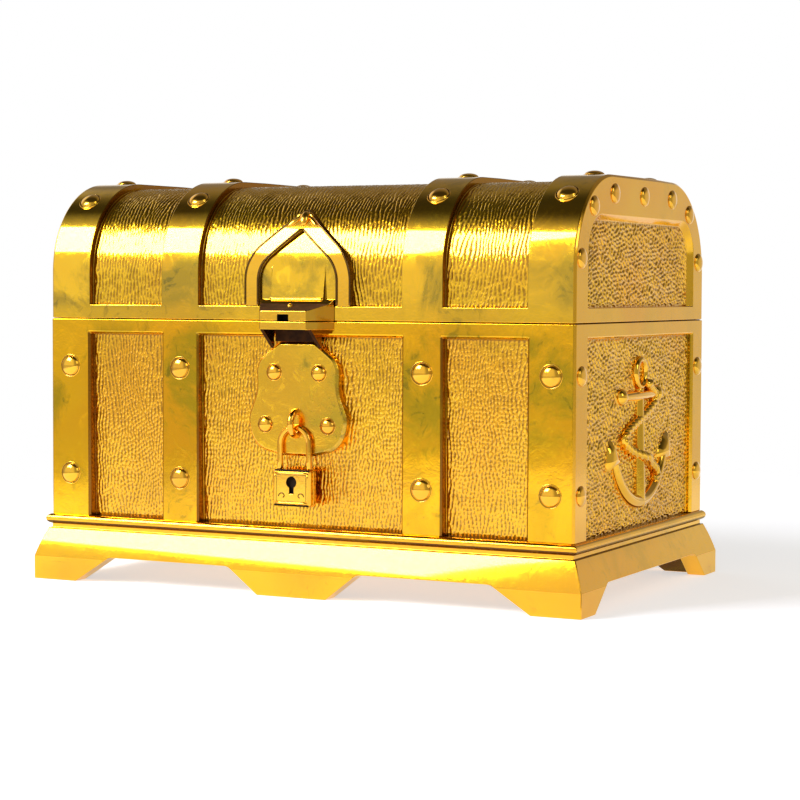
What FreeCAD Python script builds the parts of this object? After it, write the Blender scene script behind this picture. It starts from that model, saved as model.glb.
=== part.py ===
import FreeCAD
import Part
import math
import os
from FreeCAD import Vector

# Keepsake treasure chest: a strapped tub on a footed plinth, a vaulted lid on rear hinges,
# a clasp with an escutcheon, and a small padlock that hangs in a staple.
# Frame: X to the chest's right, Y to the back, Z up. All lengths are in millimetres.

# Whole chest
chest_width = 163.0
chest_depth = 103.0
chest_height = 110.0
seam_height = 72.0
seam_gap = 0.25
edge_bevel = 0.6
cut_overrun = 5.0
wire_sides = 8

# Plinth
plinth_height = 17.9
bead_radius = 1.3
neck_height = 1.2
neck_setback = 0.7
skirt_outset = 2.9
skirt_bulge = 0.4
foot_height = 6.3
plinth_wall = 5.2
plinth_rim = 6.7
ledge_reach = 4.0
ledge_height = 2.2
arch_height = 7.0
arch_corner_radius = 4.0
front_foot_width = 13.6
front_foot_shoulder = 11.0
centre_foot_width = 20.4
centre_foot_shoulder = 9.0
side_foot_width = 9.5
side_foot_shoulder = 8.5
floor_thickness = 2.2
floor_clearance = 0.15

# Tub
tub_setback = 3.5
tub_rail = 3.9
end_strap = 12.9
mid_strap = 11.6
mid_field = 60.6
side_strap = 8.7
field_depth_top = 2.0
field_depth_foot = 3.0
side_field_depth = 1.6
field_bevel = 0.6
wall_web = 2.2
tub_corner_radius = 3.0

# Lid
lid_setback = 0.1
lid_rail_share = 0.0974
shoulder_radius_share = 0.6579
crown_radius = 1500.0
lid_field_depth = 1.8
lid_web = 2.0
end_field_margin = 8.2
end_field_top_share = 0.2737
end_field_corner = 10.0
end_field_depth = 1.6
end_field_bevel = 1.6

# Studs
stud_radius = 2.7
stud_height = 1.2
end_stud_radius = 2.5
end_stud_height = 1.0
end_stud_margin = 4.0
end_top_stud_margin = 5.0
plate_stud_radius = 2.0
plate_stud_height = 1.1
stud_sides = 10
stud_ring_shares = ((1.0, 0.0), (0.84, 0.58), (0.42, 1.0))
stud_rows_shares = (0.214, 0.762)
shoulder_stud_angle = 52.0
top_stud_share = 0.873
end_top_stud_share = 0.943
end_low_stud_share = 0.42

# Clasp on the lid: pointed-arch plate, thumb tongue and upper lip
ogive_width = 31.2
ogive_border = 3.9
ogive_bend_share = 0.3316
ogive_spring_share = 0.4289
ogive_peak_share = 0.7711
ogive_proud = 0.3
ogive_recess = 0.9
seat_gap = 0.05
tongue_width = 15.8
tongue_proud = 0.45
tongue_rise_share = 0.2368
lip_front_width = 14.0
lip_base_width = 22.0
lip_reach = 7.7
lip_corner_radius = 0.8
lid_lip_front = 2.5
lip_rise = 1.7
lid_lip_bevel = 1.1
slot_width = 3.2
slot_height = 1.6
slot_depth = 3.0

# Catch bracket on the tub: lower lip and its gussets
bracket_lip = 2.1
gusset_spacing = 14.2
gusset_thickness = 1.0
gusset_reach = 6.4
gusset_drop = 5.0

# Escutcheon and staple
plate_height_share = 0.5527
plate_width_share = 0.9699
plate_drop_share = 0.098
plate_proud = 0.4
plate_bevel = 0.7
plate_outline_shares = (
    (0.372, 1.0, 0.14),
    (0.855, 0.816, 0.38),
    (0.835, 0.5585, 0.90),
    (1.03, 0.324, 0.41),
    (0.91, 0.067, 0.48),
    (0.31, 0.0, 0.62),
)
plate_stud_places_shares = ((0.46, 0.73), (0.64, 0.27))
staple_place_share = 0.285
staple_radius = 3.1
staple_wire_radius = 0.9

# Padlock
shackle_wire_radius = 0.75
shackle_radius = 4.3
shackle_length_share = 0.203
shackle_clearance = 0.15
shackle_heel_share = 0.625
shackle_toe_share = 0.271
case_width = 11.4
case_height_share = 0.1774
case_thickness = 3.6
case_bevel = 0.5
case_bore_clearance = 0.08
keyhole_radius = 1.45
keyhole_slot = 1.3
keyhole_drop = 3.0
keyhole_depth = 1.0
keyhole_place_share = 0.66

# Rear hinges
leaf_width = 10.6
leaf_height = 8.4
leaf_thickness = 1.0
barrel_radius = 1.9
barrel_standoff = 0.6
barrel_relief = 0.2
end_knuckle = 3.0
knuckle_gap = 0.2
pin_radius = 0.9
pin_clearance = 0.05
pin_overhang = 0.5
stop_angle = 195.0
stop_width = 1.2
stop_clearance = 0.15
lid_opening = 105.0

# Anchor relief on the end fields
anchor_height_share = 0.8
anchor_width_share = 1.0
anchor_ring_radius = 3.6
anchor_ring_breadth = 1.7
anchor_ring_relief = 1.5
anchor_shank_foot = 3.6
anchor_shank_top = 2.4
anchor_shank_relief = 2.2
anchor_stock_breadth = 2.4
anchor_stock_knob = 2.3
anchor_stock_relief = 1.8
anchor_arm_breadth = 3.2
anchor_arm_relief = 2.0
anchor_arm_sweep = 66.0
anchor_fluke = 9.5
anchor_fluke_relief = 1.6
anchor_stock_place_share = 0.74
anchor_stock_width_share = 0.66
anchor_fluke_shares = ((0.30, 0.62), (0.52, -0.30), (-0.55, -0.12))

# Worked out from the sizes above
half_width = chest_width / 2
half_depth = chest_depth / 2
tub_half_width = half_width - tub_setback
tub_half_depth = half_depth - tub_setback
tub_height = seam_height - plinth_height
tub_rail_foot = seam_height - tub_rail
tub_inner_width = tub_half_width - side_field_depth - wall_web
tub_inner_depth = tub_half_depth - field_depth_foot - wall_web
strap_inner = mid_field / 2
strap_outer = strap_inner + mid_strap
end_strap_inner = tub_half_width - end_strap
mid_strap_centre = strap_inner + mid_strap / 2
end_strap_centre = tub_half_width - end_strap / 2
side_strap_centre = tub_half_depth - side_strap / 2
side_field_half = tub_half_depth - side_strap

lid_height = chest_height - seam_height
lid_foot = seam_height + seam_gap
lid_rail_top = lid_foot + lid_rail_share * lid_height
lid_lip_top = lid_rail_top - lid_foot + lip_rise
lid_half_width = tub_half_width - lid_setback
lid_half_depth = tub_half_depth - lid_setback
shoulder_radius = shoulder_radius_share * lid_height
shoulder_y = lid_half_depth - shoulder_radius
crown_centre = chest_height - crown_radius
shoulder_z = crown_centre + math.sqrt((crown_radius - shoulder_radius) ** 2 - shoulder_y ** 2)
lid_wall = lid_field_depth + lid_web
top_stud_offset = top_stud_share * shoulder_y
end_top_stud_offset = end_top_stud_share * shoulder_y
ogive_bend_radius = ogive_bend_share * lid_height
ogive_spring = ogive_spring_share * lid_height
ogive_peak = ogive_peak_share * lid_height

plate_height = plate_height_share * tub_height
plate_width = plate_width_share * plate_height
plate_top = seam_height - plate_drop_share * tub_height
plate_foot = plate_top - plate_height
plate_face = tub_half_depth + plate_proud
staple_z = plate_foot + staple_place_share * plate_height
shackle_y = plate_face + shackle_wire_radius + shackle_clearance
eye_radius = staple_radius - staple_wire_radius
crown_drop = math.sqrt(
    (eye_radius - shackle_wire_radius - shackle_clearance) ** 2 - (shackle_y - plate_face) ** 2
)
shackle_crown = staple_z - crown_drop
case_top = shackle_crown - shackle_length_share * tub_height
case_height = case_height_share * tub_height
case_foot = case_top - case_height
shackle_heel = shackle_heel_share * case_height
shackle_toe = shackle_toe_share * case_height

lip_front = tub_half_depth + lip_reach
hinge_y = tub_half_depth + barrel_standoff + barrel_radius
hinge_z = seam_height + seam_gap / 2
lid_leaf_thickness = leaf_thickness + lid_setback
plan_shift = (lip_front - hinge_y - barrel_radius) / 2

along_x = Vector(1, 0, 0)
along_y = Vector(0, 1, 0)
along_z = Vector(0, 0, 1)


def front_plane(y):
    """Map outline coordinates to X and Z at one depth."""
    return lambda u, v: Vector(u, y, v)


def side_plane(x):
    """Map outline coordinates to Y and Z at one width."""
    return lambda u, v: Vector(x, u, v)


def plan_plane(z):
    """Map outline coordinates to X and Y at one height."""
    return lambda u, v: Vector(u, v, z)


def rounded_wire(corners, place):
    """Closed wire through (u, v, radius) corners, each rounded by a tangent arc."""
    stretches = []
    for index, (u, v, radius) in enumerate(corners):
        corner = Vector(u, v, 0)
        before = corners[index - 1]
        after = corners[(index + 1) % len(corners)]
        to_before = (Vector(before[0], before[1], 0) - corner).normalize()
        to_after = (Vector(after[0], after[1], 0) - corner).normalize()
        half_angle = to_before.getAngle(to_after) / 2
        if radius == 0:
            stretches.append((corner, None, corner))
            continue
        reach = radius / math.tan(half_angle)
        bisector = (to_before + to_after).normalize()
        middle = corner + bisector * (radius / math.sin(half_angle) - radius)
        stretches.append((corner + to_before * reach, middle, corner + to_after * reach))
    edges = []
    for index, (arrive, middle, leave) in enumerate(stretches):
        following = stretches[(index + 1) % len(stretches)][0]
        if middle is not None:
            points = [place(point.x, point.y) for point in (arrive, middle, leave)]
            edges.append(Part.Arc(*points).toShape())
        edges.append(Part.makeLine(place(leave.x, leave.y), place(following.x, following.y)))
    return Part.Wire(edges)


def prism(corners, place, travel):
    """Solid swept straight from a rounded outline."""
    return Part.Face(rounded_wire(corners, place)).extrude(travel)


def block(x0, x1, y0, y1, z0, z1):
    """Box between two corners."""
    return Part.makeBox(x1 - x0, y1 - y0, z1 - z0, Vector(x0, y0, z0))


def sharp(*points):
    """Corners with no rounding."""
    return [(u, v, 0) for u, v in points]


def mirrored(corners):
    """Close a right-hand half outline, listed top down, with its left-hand half."""
    return list(corners) + [(-u, v, radius) for u, v, radius in reversed(corners)]


def left_and_right(shape):
    """The shape and its mirror image across the chest's middle."""
    return [shape, shape.mirror(Vector(0, 0, 0), along_x)]


def front_and_back(shape):
    """The shape and its mirror image from front to back."""
    return [shape, shape.mirror(Vector(0, 0, 0), along_y)]


def polygon_ring(radius, z, sides):
    """Corners of a level regular polygon."""
    turn = 2 * math.pi / sides
    return [Vector(radius * math.cos(turn * k), radius * math.sin(turn * k), z) for k in range(sides)]


def face_through(points):
    """Flat face bounded by straight edges."""
    return Part.Face(Part.makePolygon(points + points[:1]))


def dome(radius, height):
    """Many-sided round stud head that stands on the XY plane."""
    rings = [
        polygon_ring(radius * width, height * rise, stud_sides) for width, rise in stud_ring_shares
    ]
    faces = [face_through(rings[0]), face_through(rings[-1])]
    for lower, upper in zip(rings, rings[1:]):
        for k in range(stud_sides):
            after = (k + 1) % stud_sides
            faces.append(face_through([lower[k], lower[after], upper[after], upper[k]]))
    return Part.makeSolid(Part.makeShell(faces))


def studs(places, radius, height):
    """Group of stud heads, each at a point and along a direction."""
    heads = []
    for point, direction in places:
        head = dome(radius, height)
        head.Placement = FreeCAD.Placement(point, FreeCAD.Rotation(along_z, direction))
        heads.append(head)
    return Part.makeCompound(heads)


def vault_wire(inset, foot, x):
    """Lid section at one width: straight walls, round shoulders and a slight crown."""
    half = lid_half_depth - inset
    shoulder = shoulder_radius - inset
    crown = crown_radius - inset
    lean = math.atan2(shoulder_y, shoulder_z - crown_centre)
    meet_y = crown * math.sin(lean)
    meet_z = crown_centre + crown * math.cos(lean)
    middle = (math.pi / 2 - lean) / 2
    middle_y = shoulder_y + shoulder * math.cos(middle)
    middle_z = shoulder_z + shoulder * math.sin(middle)
    place = side_plane(x)
    edges = [
        Part.makeLine(place(-half, foot), place(-half, shoulder_z)),
        Part.Arc(place(-half, shoulder_z), place(-middle_y, middle_z), place(-meet_y, meet_z)).toShape(),
        Part.Arc(place(-meet_y, meet_z), place(0, crown_centre + crown), place(meet_y, meet_z)).toShape(),
        Part.Arc(place(meet_y, meet_z), place(middle_y, middle_z), place(half, shoulder_z)).toShape(),
        Part.makeLine(place(half, shoulder_z), place(half, foot)),
        Part.makeLine(place(half, foot), place(-half, foot)),
    ]
    return Part.Wire(edges)


def vault(inset, foot, x0, x1):
    """Solid lid section between two widths, its skin moved inwards by the inset."""
    return Part.Face(vault_wire(inset, foot, x0)).extrude(Vector(x1 - x0, 0, 0))


def crown_point(y):
    """Point and outward direction on the lid's strap crown."""
    height = math.sqrt(crown_radius ** 2 - y ** 2)
    return y, crown_centre + height, Vector(0, y, height).normalize()


def shoulder_point(angle, inset):
    """Y and Z on the lid's front shoulder, at an angle above the level."""
    radius = shoulder_radius - inset
    turn = math.radians(angle)
    return -shoulder_y - radius * math.cos(turn), shoulder_z + radius * math.sin(turn)


def moulding_wire(half, place):
    """Plinth section: upright foot, swelling skirt, neck and half-round bead, both sides."""
    skirt_edge = half - skirt_outset
    neck = skirt_edge - neck_setback
    bead_foot = plinth_height - 2 * bead_radius
    skirt_top = bead_foot - neck_height
    lean = math.atan2(skirt_outset, skirt_top - foot_height)
    swell_u = half - skirt_outset / 2 + skirt_bulge * math.cos(lean)
    swell_z = (foot_height + skirt_top) / 2 + skirt_bulge * math.sin(lean)
    edges = []
    for side in (1, -1):
        edges += [
            Part.makeLine(place(side * half, 0), place(side * half, foot_height)),
            Part.Arc(
                place(side * half, foot_height),
                place(side * swell_u, swell_z),
                place(side * skirt_edge, skirt_top),
            ).toShape(),
            Part.makeLine(place(side * skirt_edge, skirt_top), place(side * neck, skirt_top)),
            Part.makeLine(place(side * neck, skirt_top), place(side * neck, bead_foot)),
            Part.Arc(
                place(side * neck, bead_foot),
                place(side * (neck + bead_radius), plinth_height - bead_radius),
                place(side * neck, plinth_height),
            ).toShape(),
        ]
    edges.append(Part.makeLine(place(-half, 0), place(half, 0)))
    edges.append(Part.makeLine(place(-neck, plinth_height), place(neck, plinth_height)))
    return Part.Wire(Part.__sortEdges__(edges))


def arch(inner_foot, inner_top, outer_top, outer_foot):
    """Outline of one opening between two feet."""
    return [
        (inner_foot, -cut_overrun, 0),
        (inner_foot, 0, 0),
        (inner_top, arch_height, arch_corner_radius),
        (outer_top, arch_height, arch_corner_radius),
        (outer_foot, 0, 0),
        (outer_foot, -cut_overrun, 0),
    ]


def plinth_base():
    """Mitred moulding, hollow below, with a ledge for the floor and arches between the feet."""
    lengthwise = Part.Face(moulding_wire(half_depth, side_plane(-half_width))).extrude(along_x * chest_width)
    crosswise = Part.Face(moulding_wire(half_width, front_plane(-half_depth))).extrude(along_y * chest_depth)
    body = lengthwise.common(crosswise)
    floor_foot = plinth_height - floor_thickness
    ledge_foot = floor_foot - ledge_height
    well_x = half_width - plinth_wall
    well_y = half_depth - plinth_wall
    rim_x = half_width - plinth_rim
    rim_y = half_depth - plinth_rim
    mouth_x = rim_x - ledge_reach
    mouth_y = rim_y - ledge_reach
    body = body.cut(block(-well_x, well_x, -well_y, well_y, -cut_overrun, ledge_foot))
    body = body.cut(block(-mouth_x, mouth_x, -mouth_y, mouth_y, 0, plinth_height + cut_overrun))
    body = body.cut(block(-rim_x, rim_x, -rim_y, rim_y, floor_foot, plinth_height + cut_overrun))
    centre_foot = centre_foot_width / 2
    end_foot = half_width - front_foot_width
    long_arch = arch(
        centre_foot, centre_foot + centre_foot_shoulder, end_foot - front_foot_shoulder, end_foot
    )
    long_cut = prism(
        long_arch, front_plane(-half_depth - cut_overrun), along_y * (chest_depth + 2 * cut_overrun)
    )
    side_foot = half_depth - side_foot_width
    side_top = side_foot - side_foot_shoulder
    side_cut = prism(
        arch(-side_foot, -side_top, side_top, side_foot),
        side_plane(-half_width - cut_overrun),
        along_x * (chest_width + 2 * cut_overrun),
    )
    return body.cut(left_and_right(long_cut) + [side_cut])


def floor_panel():
    """Loose floor on the plinth's ledge."""
    x = half_width - plinth_rim - floor_clearance
    y = half_depth - plinth_rim - floor_clearance
    return block(-x, x, -y, y, plinth_height - floor_thickness, plinth_height)


def long_field(x0, x1):
    """Hollow of one front field, from its sloping floor outwards, with a bevelled rim."""
    floor_top = -tub_half_depth + field_depth_top
    floor_foot = -tub_half_depth + field_depth_foot
    outside = -tub_half_depth - cut_overrun
    section = sharp(
        (outside, plinth_height),
        (floor_foot, plinth_height),
        (floor_top, tub_rail_foot),
        (outside, tub_rail_foot),
    )
    pocket = prism(section, side_plane(x0), along_x * (x1 - x0))
    rim = [
        Part.makePolygon(
            [
                Vector(x0 - widen, y, plinth_height),
                Vector(x1 + widen, y, plinth_height),
                Vector(x1 + widen, y, tub_rail_foot + widen),
                Vector(x0 - widen, y, tub_rail_foot + widen),
                Vector(x0 - widen, y, plinth_height),
            ]
        )
        for widen, y in ((field_bevel, -tub_half_depth), (0, -tub_half_depth + field_bevel))
    ]
    return pocket.fuse(Part.makeLoft(rim, True, True))


def side_field():
    """Hollow of the right-hand end field, with a bevelled rim."""
    floor = tub_half_width - side_field_depth
    pocket = block(
        floor, tub_half_width + cut_overrun, -side_field_half, side_field_half, plinth_height, tub_rail_foot
    )
    rim = []
    for widen, x in ((field_bevel, tub_half_width), (0, tub_half_width - field_bevel)):
        reach = side_field_half + widen
        top = tub_rail_foot + widen
        corners = [(-reach, plinth_height), (reach, plinth_height), (reach, top), (-reach, top)]
        corners.append(corners[0])
        rim.append(Part.makePolygon([Vector(x, y, z) for y, z in corners]))
    return pocket.fuse(Part.makeLoft(rim, True, True))


def tub_shell():
    """Four strapped walls, open above and below."""
    body = block(
        -tub_half_width, tub_half_width, -tub_half_depth, tub_half_depth, plinth_height, seam_height
    )
    upright = [edge for edge in body.Edges if abs(edge.tangentAt(edge.FirstParameter).z) > 0]
    body = body.makeChamfer(edge_bevel, upright)
    inside = [
        (side_x * tub_inner_width, side_y * tub_inner_depth, tub_corner_radius)
        for side_x, side_y in ((-1, -1), (1, -1), (1, 1), (-1, 1))
    ]
    well = prism(inside, plan_plane(plinth_height - cut_overrun), along_z * (tub_height + 2 * cut_overrun))
    body = body.cut(well)
    hollows = front_and_back(long_field(-strap_inner, strap_inner))
    for hollow in left_and_right(long_field(strap_outer, end_strap_inner)):
        hollows += front_and_back(hollow)
    hollows += left_and_right(side_field())
    return body.cut(hollows)


def end_field_outline(draw_in):
    """Round-cornered outline of a lid's end field, drawn in towards its floor."""
    half = lid_half_depth - end_field_margin - draw_in
    top = chest_height - end_field_top_share * lid_height - draw_in
    corner = end_field_corner - draw_in
    return [
        (-half, lid_rail_top, 0),
        (half, lid_rail_top, 0),
        (half, top, corner),
        (-half, top, corner),
    ]


def lid_shell():
    """Vaulted lid with straps left standing around its sunk fields."""
    body = vault(0, lid_foot, -lid_half_width, lid_half_width)
    rim = [
        edge
        for edge in body.Edges
        if abs(abs(edge.CenterOfMass.x) - lid_half_width) < edge_bevel
        and edge.CenterOfMass.z > lid_foot + edge_bevel
    ]
    body = body.makeChamfer(edge_bevel, rim)
    inner_x = lid_half_width - end_field_depth - lid_web
    body = body.cut(vault(lid_wall, lid_foot - cut_overrun, -inner_x, inner_x))
    spans = ((-strap_inner, strap_inner), (strap_outer, end_strap_inner), (-end_strap_inner, -strap_outer))
    hollows = []
    for x0, x1 in spans:
        skin = vault(-cut_overrun, lid_rail_top, x0, x1)
        hollows.append(skin.cut(vault(lid_field_depth, lid_foot, x0, x1)))
    rims = [
        rounded_wire(end_field_outline(draw_in), side_plane(lid_half_width - depth))
        for draw_in, depth in ((0, 0), (end_field_bevel, end_field_depth))
    ]
    hollows += left_and_right(Part.makeLoft(rims, True, True))
    return body.cut(hollows)


def ogive_outline(border):
    """Pointed-arch outline, drawn in by the border."""
    half = ogive_width / 2
    slope = math.atan2(ogive_peak - ogive_spring, half)
    half_inner = half - border
    peak = seam_height + ogive_peak - border / math.cos(slope)
    spring = peak - half_inner * math.tan(slope)
    bend = ogive_bend_radius - border
    return [
        (-half_inner, lid_rail_top, 0),
        (half_inner, lid_rail_top, 0),
        (half_inner, spring, bend),
        (0, peak, 0),
        (-half_inner, spring, bend),
    ]


def lip_plan(z, height):
    """Clasp lip seen from above: it narrows towards its front."""
    corners = [
        (-lip_base_width / 2, -lid_half_depth + lid_field_depth, 0),
        (lip_base_width / 2, -lid_half_depth + lid_field_depth, 0),
        (lip_base_width / 2, -tub_half_depth, 0),
        (lip_front_width / 2, -lip_front, lip_corner_radius),
        (-lip_front_width / 2, -lip_front, lip_corner_radius),
        (-lip_base_width / 2, -tub_half_depth, 0),
    ]
    return prism(corners, plan_plane(z), along_z * height)


def lid_clasp():
    """Pointed-arch plate that follows the lid's curve, with its tongue and lip."""
    reach = ogive_width / 2
    skin = vault(-ogive_proud, lid_rail_top, -reach, reach)
    skin = skin.cut(vault(lid_field_depth - seat_gap, lid_foot, -reach, reach))
    sight = front_plane(-lid_half_depth - cut_overrun)
    depth = along_y * (lid_half_depth + cut_overrun)
    plate = skin.common(prism(ogive_outline(0), sight, depth))
    sunk = vault(-cut_overrun, lid_rail_top, -reach, reach)
    sunk = sunk.cut(vault(ogive_recess - ogive_proud, lid_foot, -reach, reach))
    plate = plate.cut(sunk.common(prism(ogive_outline(ogive_border), sight, depth)))
    lip_top = lid_foot + lid_lip_top
    tongue_top = lip_top + tongue_rise_share * lid_height
    root = -lid_half_depth + lid_field_depth - seat_gap
    tongue = prism(
        sharp(
            (root, lip_top),
            (-lid_half_depth - tongue_proud, lip_top),
            (-lid_half_depth + ogive_recess - ogive_proud, tongue_top),
            (root, tongue_top),
        ),
        side_plane(-tongue_width / 2),
        along_x * tongue_width,
    )
    lip = prism(
        sharp(
            (-lid_half_depth, lid_foot),
            (-lip_front, lid_foot),
            (-lip_front, lid_foot + lid_lip_front),
            (-lid_half_depth - tongue_proud - lid_lip_bevel, lip_top - lid_lip_bevel),
            (-lid_half_depth - tongue_proud, lip_top),
            (root, lip_top),
            (root, lid_rail_top),
            (-lid_half_depth, lid_rail_top),
        ),
        side_plane(-lip_base_width / 2),
        along_x * lip_base_width,
    ).common(lip_plan(lid_foot, lid_lip_top))
    slot = block(
        -slot_width / 2,
        slot_width / 2,
        -lip_front - cut_overrun,
        -lip_front + slot_depth,
        lid_foot - cut_overrun,
        lid_foot + slot_height,
    )
    return plate.fuse([tongue, lip]).cut(slot).removeSplitter()


def catch_bracket():
    """Lower lip, held off the escutcheon by two slanting gussets."""
    lip_foot = seam_height - bracket_lip
    wall = block(
        -lip_base_width, lip_base_width, -tub_half_depth, 0, lip_foot - cut_overrun, seam_height + cut_overrun
    )
    lip = lip_plan(lip_foot, bracket_lip).cut(wall)
    outline = sharp(
        (-tub_half_depth, lip_foot),
        (-tub_half_depth - gusset_reach, lip_foot),
        (-plate_face, lip_foot - gusset_drop),
        (-plate_face, tub_rail_foot),
        (-tub_half_depth, tub_rail_foot),
    )
    inner = (gusset_spacing - gusset_thickness) / 2
    gusset = prism(outline, side_plane(inner), along_x * gusset_thickness)
    return lip.fuse(left_and_right(gusset)).removeSplitter()


def plate_outline():
    """Bell-shaped escutcheon outline."""
    half = plate_width / 2
    corners = [
        (half * width, plate_foot + plate_height * rise, half * radius)
        for width, rise, radius in plate_outline_shares
    ]
    return mirrored(corners)


def lock_plate():
    """Escutcheon that fills the middle field's depth, with a bevelled front edge."""
    front = -plate_face
    depth = plate_proud + field_depth_foot + cut_overrun
    slab = prism(plate_outline(), front_plane(front), along_y * depth)
    edges = [edge for edge in slab.Edges if abs(edge.BoundBox.YMax - front) < plate_bevel]
    slab = slab.makeChamfer(plate_bevel, edges)
    return slab.common(long_field(-strap_inner, strap_inner))


def plate_stud_places():
    """The escutcheon's four studs."""
    places = []
    for width, rise in plate_stud_places_shares:
        for side in (-1, 1):
            x = side * width * plate_width / 2
            places.append((Vector(x, -plate_face, plate_foot + rise * plate_height), -along_y))
    return places


def wire_section(centre, across, forward, radius):
    """Many-sided section of a round wire, spread along two directions."""
    turn = 2 * math.pi / wire_sides
    angles = [turn * (k + 1 / 2) for k in range(wire_sides)]
    points = [centre + (across * math.cos(angle) + forward * math.sin(angle)) * radius for angle in angles]
    return face_through(points)


def lock_staple():
    """Half ring that stands out of the escutcheon."""
    start = Vector(0, -plate_face, staple_z + staple_radius)
    section = wire_section(start, along_x, along_z, staple_wire_radius)
    return section.revolve(Vector(0, -plate_face, staple_z), along_x, 180)


def padlock_shackle():
    """Bent wire with a long heel leg and a short toe leg."""
    bend = shackle_crown - shackle_radius
    middle = Vector(0, -shackle_y, bend)
    pieces = []
    for side, depth in ((-1, shackle_heel), (1, shackle_toe)):
        section = wire_section(
            middle + along_x * side * shackle_radius, along_x, along_y, shackle_wire_radius
        )
        pieces.append(section.extrude(along_z * (case_top - depth - bend)))
    bow = section.revolve(middle, -along_y, 180)
    return bow.fuse(pieces).removeSplitter()


def shackle_bores():
    """Round holes in the case for the shackle's two legs."""
    radius = shackle_wire_radius + case_bore_clearance
    bores = []
    for side, depth in ((-1, shackle_heel), (1, shackle_toe)):
        foot = case_top - depth - case_bore_clearance
        start = Vector(side * shackle_radius, -shackle_y, foot)
        bores.append(Part.makeCylinder(radius, case_top + cut_overrun - foot, start, along_z))
    return bores


def padlock_case(front):
    """One half of the padlock's case, bored for the shackle; the front half has the keyhole."""
    half = case_width / 2
    rear = -shackle_y + case_thickness / 2
    face = -shackle_y - case_thickness / 2
    body = block(-half, half, face, rear, case_foot, case_top)
    body = body.makeChamfer(case_bevel, body.Edges)
    keep_from = face - cut_overrun if front else -shackle_y
    keep_to = -shackle_y if front else rear + cut_overrun
    body = body.common(block(-case_width, case_width, keep_from, keep_to, case_foot, case_top))
    body = body.cut(shackle_bores())
    if front:
        eye_z = case_foot + keyhole_place_share * case_height
        eye = Part.makeCylinder(keyhole_radius, keyhole_depth, Vector(0, face, eye_z), along_y)
        slot = block(
            -keyhole_slot / 2, keyhole_slot / 2, face, face + keyhole_depth, eye_z - keyhole_drop, eye_z
        )
        body = body.cut(eye.fuse(slot))
    return body


def hinge_leaf(centre, on_lid):
    """Leaf with its knuckles: two end knuckles on the tub's leaf, one middle knuckle on the lid's."""
    left = centre - leaf_width / 2
    right = centre + leaf_width / 2
    inner_left = left + end_knuckle
    inner_right = right - end_knuckle
    clear = barrel_radius + barrel_relief
    if on_lid:
        spans = [(inner_left + knuckle_gap, inner_right - knuckle_gap)]
        wall, thickness = lid_half_depth, lid_leaf_thickness
        plate_z = (hinge_z + clear, hinge_z + leaf_height)
        web_z = (hinge_z + seam_gap / 2, hinge_z + clear)
    else:
        spans = [(left, inner_left), (inner_right, right)]
        wall, thickness = tub_half_depth, leaf_thickness
        plate_z = (hinge_z - leaf_height, hinge_z - clear)
        web_z = (hinge_z - clear, hinge_z - seam_gap / 2)
    leaf = block(left, right, wall, wall + thickness, *plate_z)
    for x0, x1 in spans:
        barrel = Part.makeCylinder(barrel_radius, x1 - x0, Vector(x0, hinge_y, hinge_z), along_x)
        leaf = leaf.fuse([block(x0, x1, wall, hinge_y, *web_z), barrel])
        if on_lid:
            leaf = leaf.fuse(stop_lug(x0, x1))
    bore = Part.makeCylinder(
        pin_radius + pin_clearance, leaf_width, Vector(left, hinge_y, hinge_z), along_x
    )
    return leaf.cut(bore).removeSplitter()


def stop_lug(x0, x1):
    """Nose on the lid's knuckle that meets the tub's strap when the lid is fully open."""
    lean = math.radians(stop_angle)
    wall_distance = hinge_y - tub_half_depth - stop_clearance
    length = (wall_distance - stop_width / 2 * abs(math.sin(lean))) / abs(math.cos(lean))
    nose = block(x0, x1, hinge_y, hinge_y + length, hinge_z - stop_width / 2, hinge_z + stop_width / 2)
    nose.rotate(Vector(0, hinge_y, hinge_z), along_x, stop_angle + lid_opening)
    return nose


def hinge_pin(centre):
    """Plain pin that ends a little outside the knuckles."""
    reach = leaf_width / 2 + pin_overhang
    return Part.makeCylinder(pin_radius, 2 * reach, Vector(centre - reach, hinge_y, hinge_z), along_x)


def tub_long_stud_places(side):
    """Studs on the tub's front (-1) or back (1) straps."""
    return [
        (Vector(x, side * tub_half_depth, plinth_height + share * tub_height), along_y * side)
        for x in (-end_strap_centre, -mid_strap_centre, mid_strap_centre, end_strap_centre)
        for share in stud_rows_shares
    ]


def tub_end_stud_places(side):
    """Studs on the tub's left (-1) or right (1) straps."""
    return [
        (Vector(side * tub_half_width, y, plinth_height + share * tub_height), along_x * side)
        for y in (-side_strap_centre, side_strap_centre)
        for share in stud_rows_shares
    ]


def strap_centres():
    """Middles of the lid's four straps."""
    return (-end_strap_centre, -mid_strap_centre, mid_strap_centre, end_strap_centre)


def lid_shoulder_stud_places(side):
    """Studs on the lid's front (-1) or back (1) shoulder."""
    y, z = shoulder_point(shoulder_stud_angle, 0)
    turn = math.radians(shoulder_stud_angle)
    direction = Vector(0, side * math.cos(turn), math.sin(turn))
    return [(Vector(x, -side * y, z), direction) for x in strap_centres()]


def lid_top_stud_places():
    """Studs on the crown of the lid's straps."""
    places = []
    for x in strap_centres():
        for side in (-1, 1):
            y, z, direction = crown_point(side * top_stud_offset)
            places.append((Vector(x, y, z), direction))
    return places


def lid_end_stud_places(side):
    """Studs along the arched edge of the lid's left (-1) or right (1) end."""
    low = (lid_half_depth - end_stud_margin, lid_foot + end_low_stud_share * lid_height)
    corner_y, corner_z = shoulder_point(shoulder_stud_angle, end_stud_margin)
    top = (end_top_stud_offset, chest_height - end_top_stud_margin)
    middle = (0, chest_height - end_top_stud_margin)
    spots = [middle]
    for y, z in (low, (corner_y, corner_z), top):
        spots += [(y, z), (-y, z)]
    return [(Vector(side * lid_half_width, y, z), along_x * side) for y, z in spots]


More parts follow.
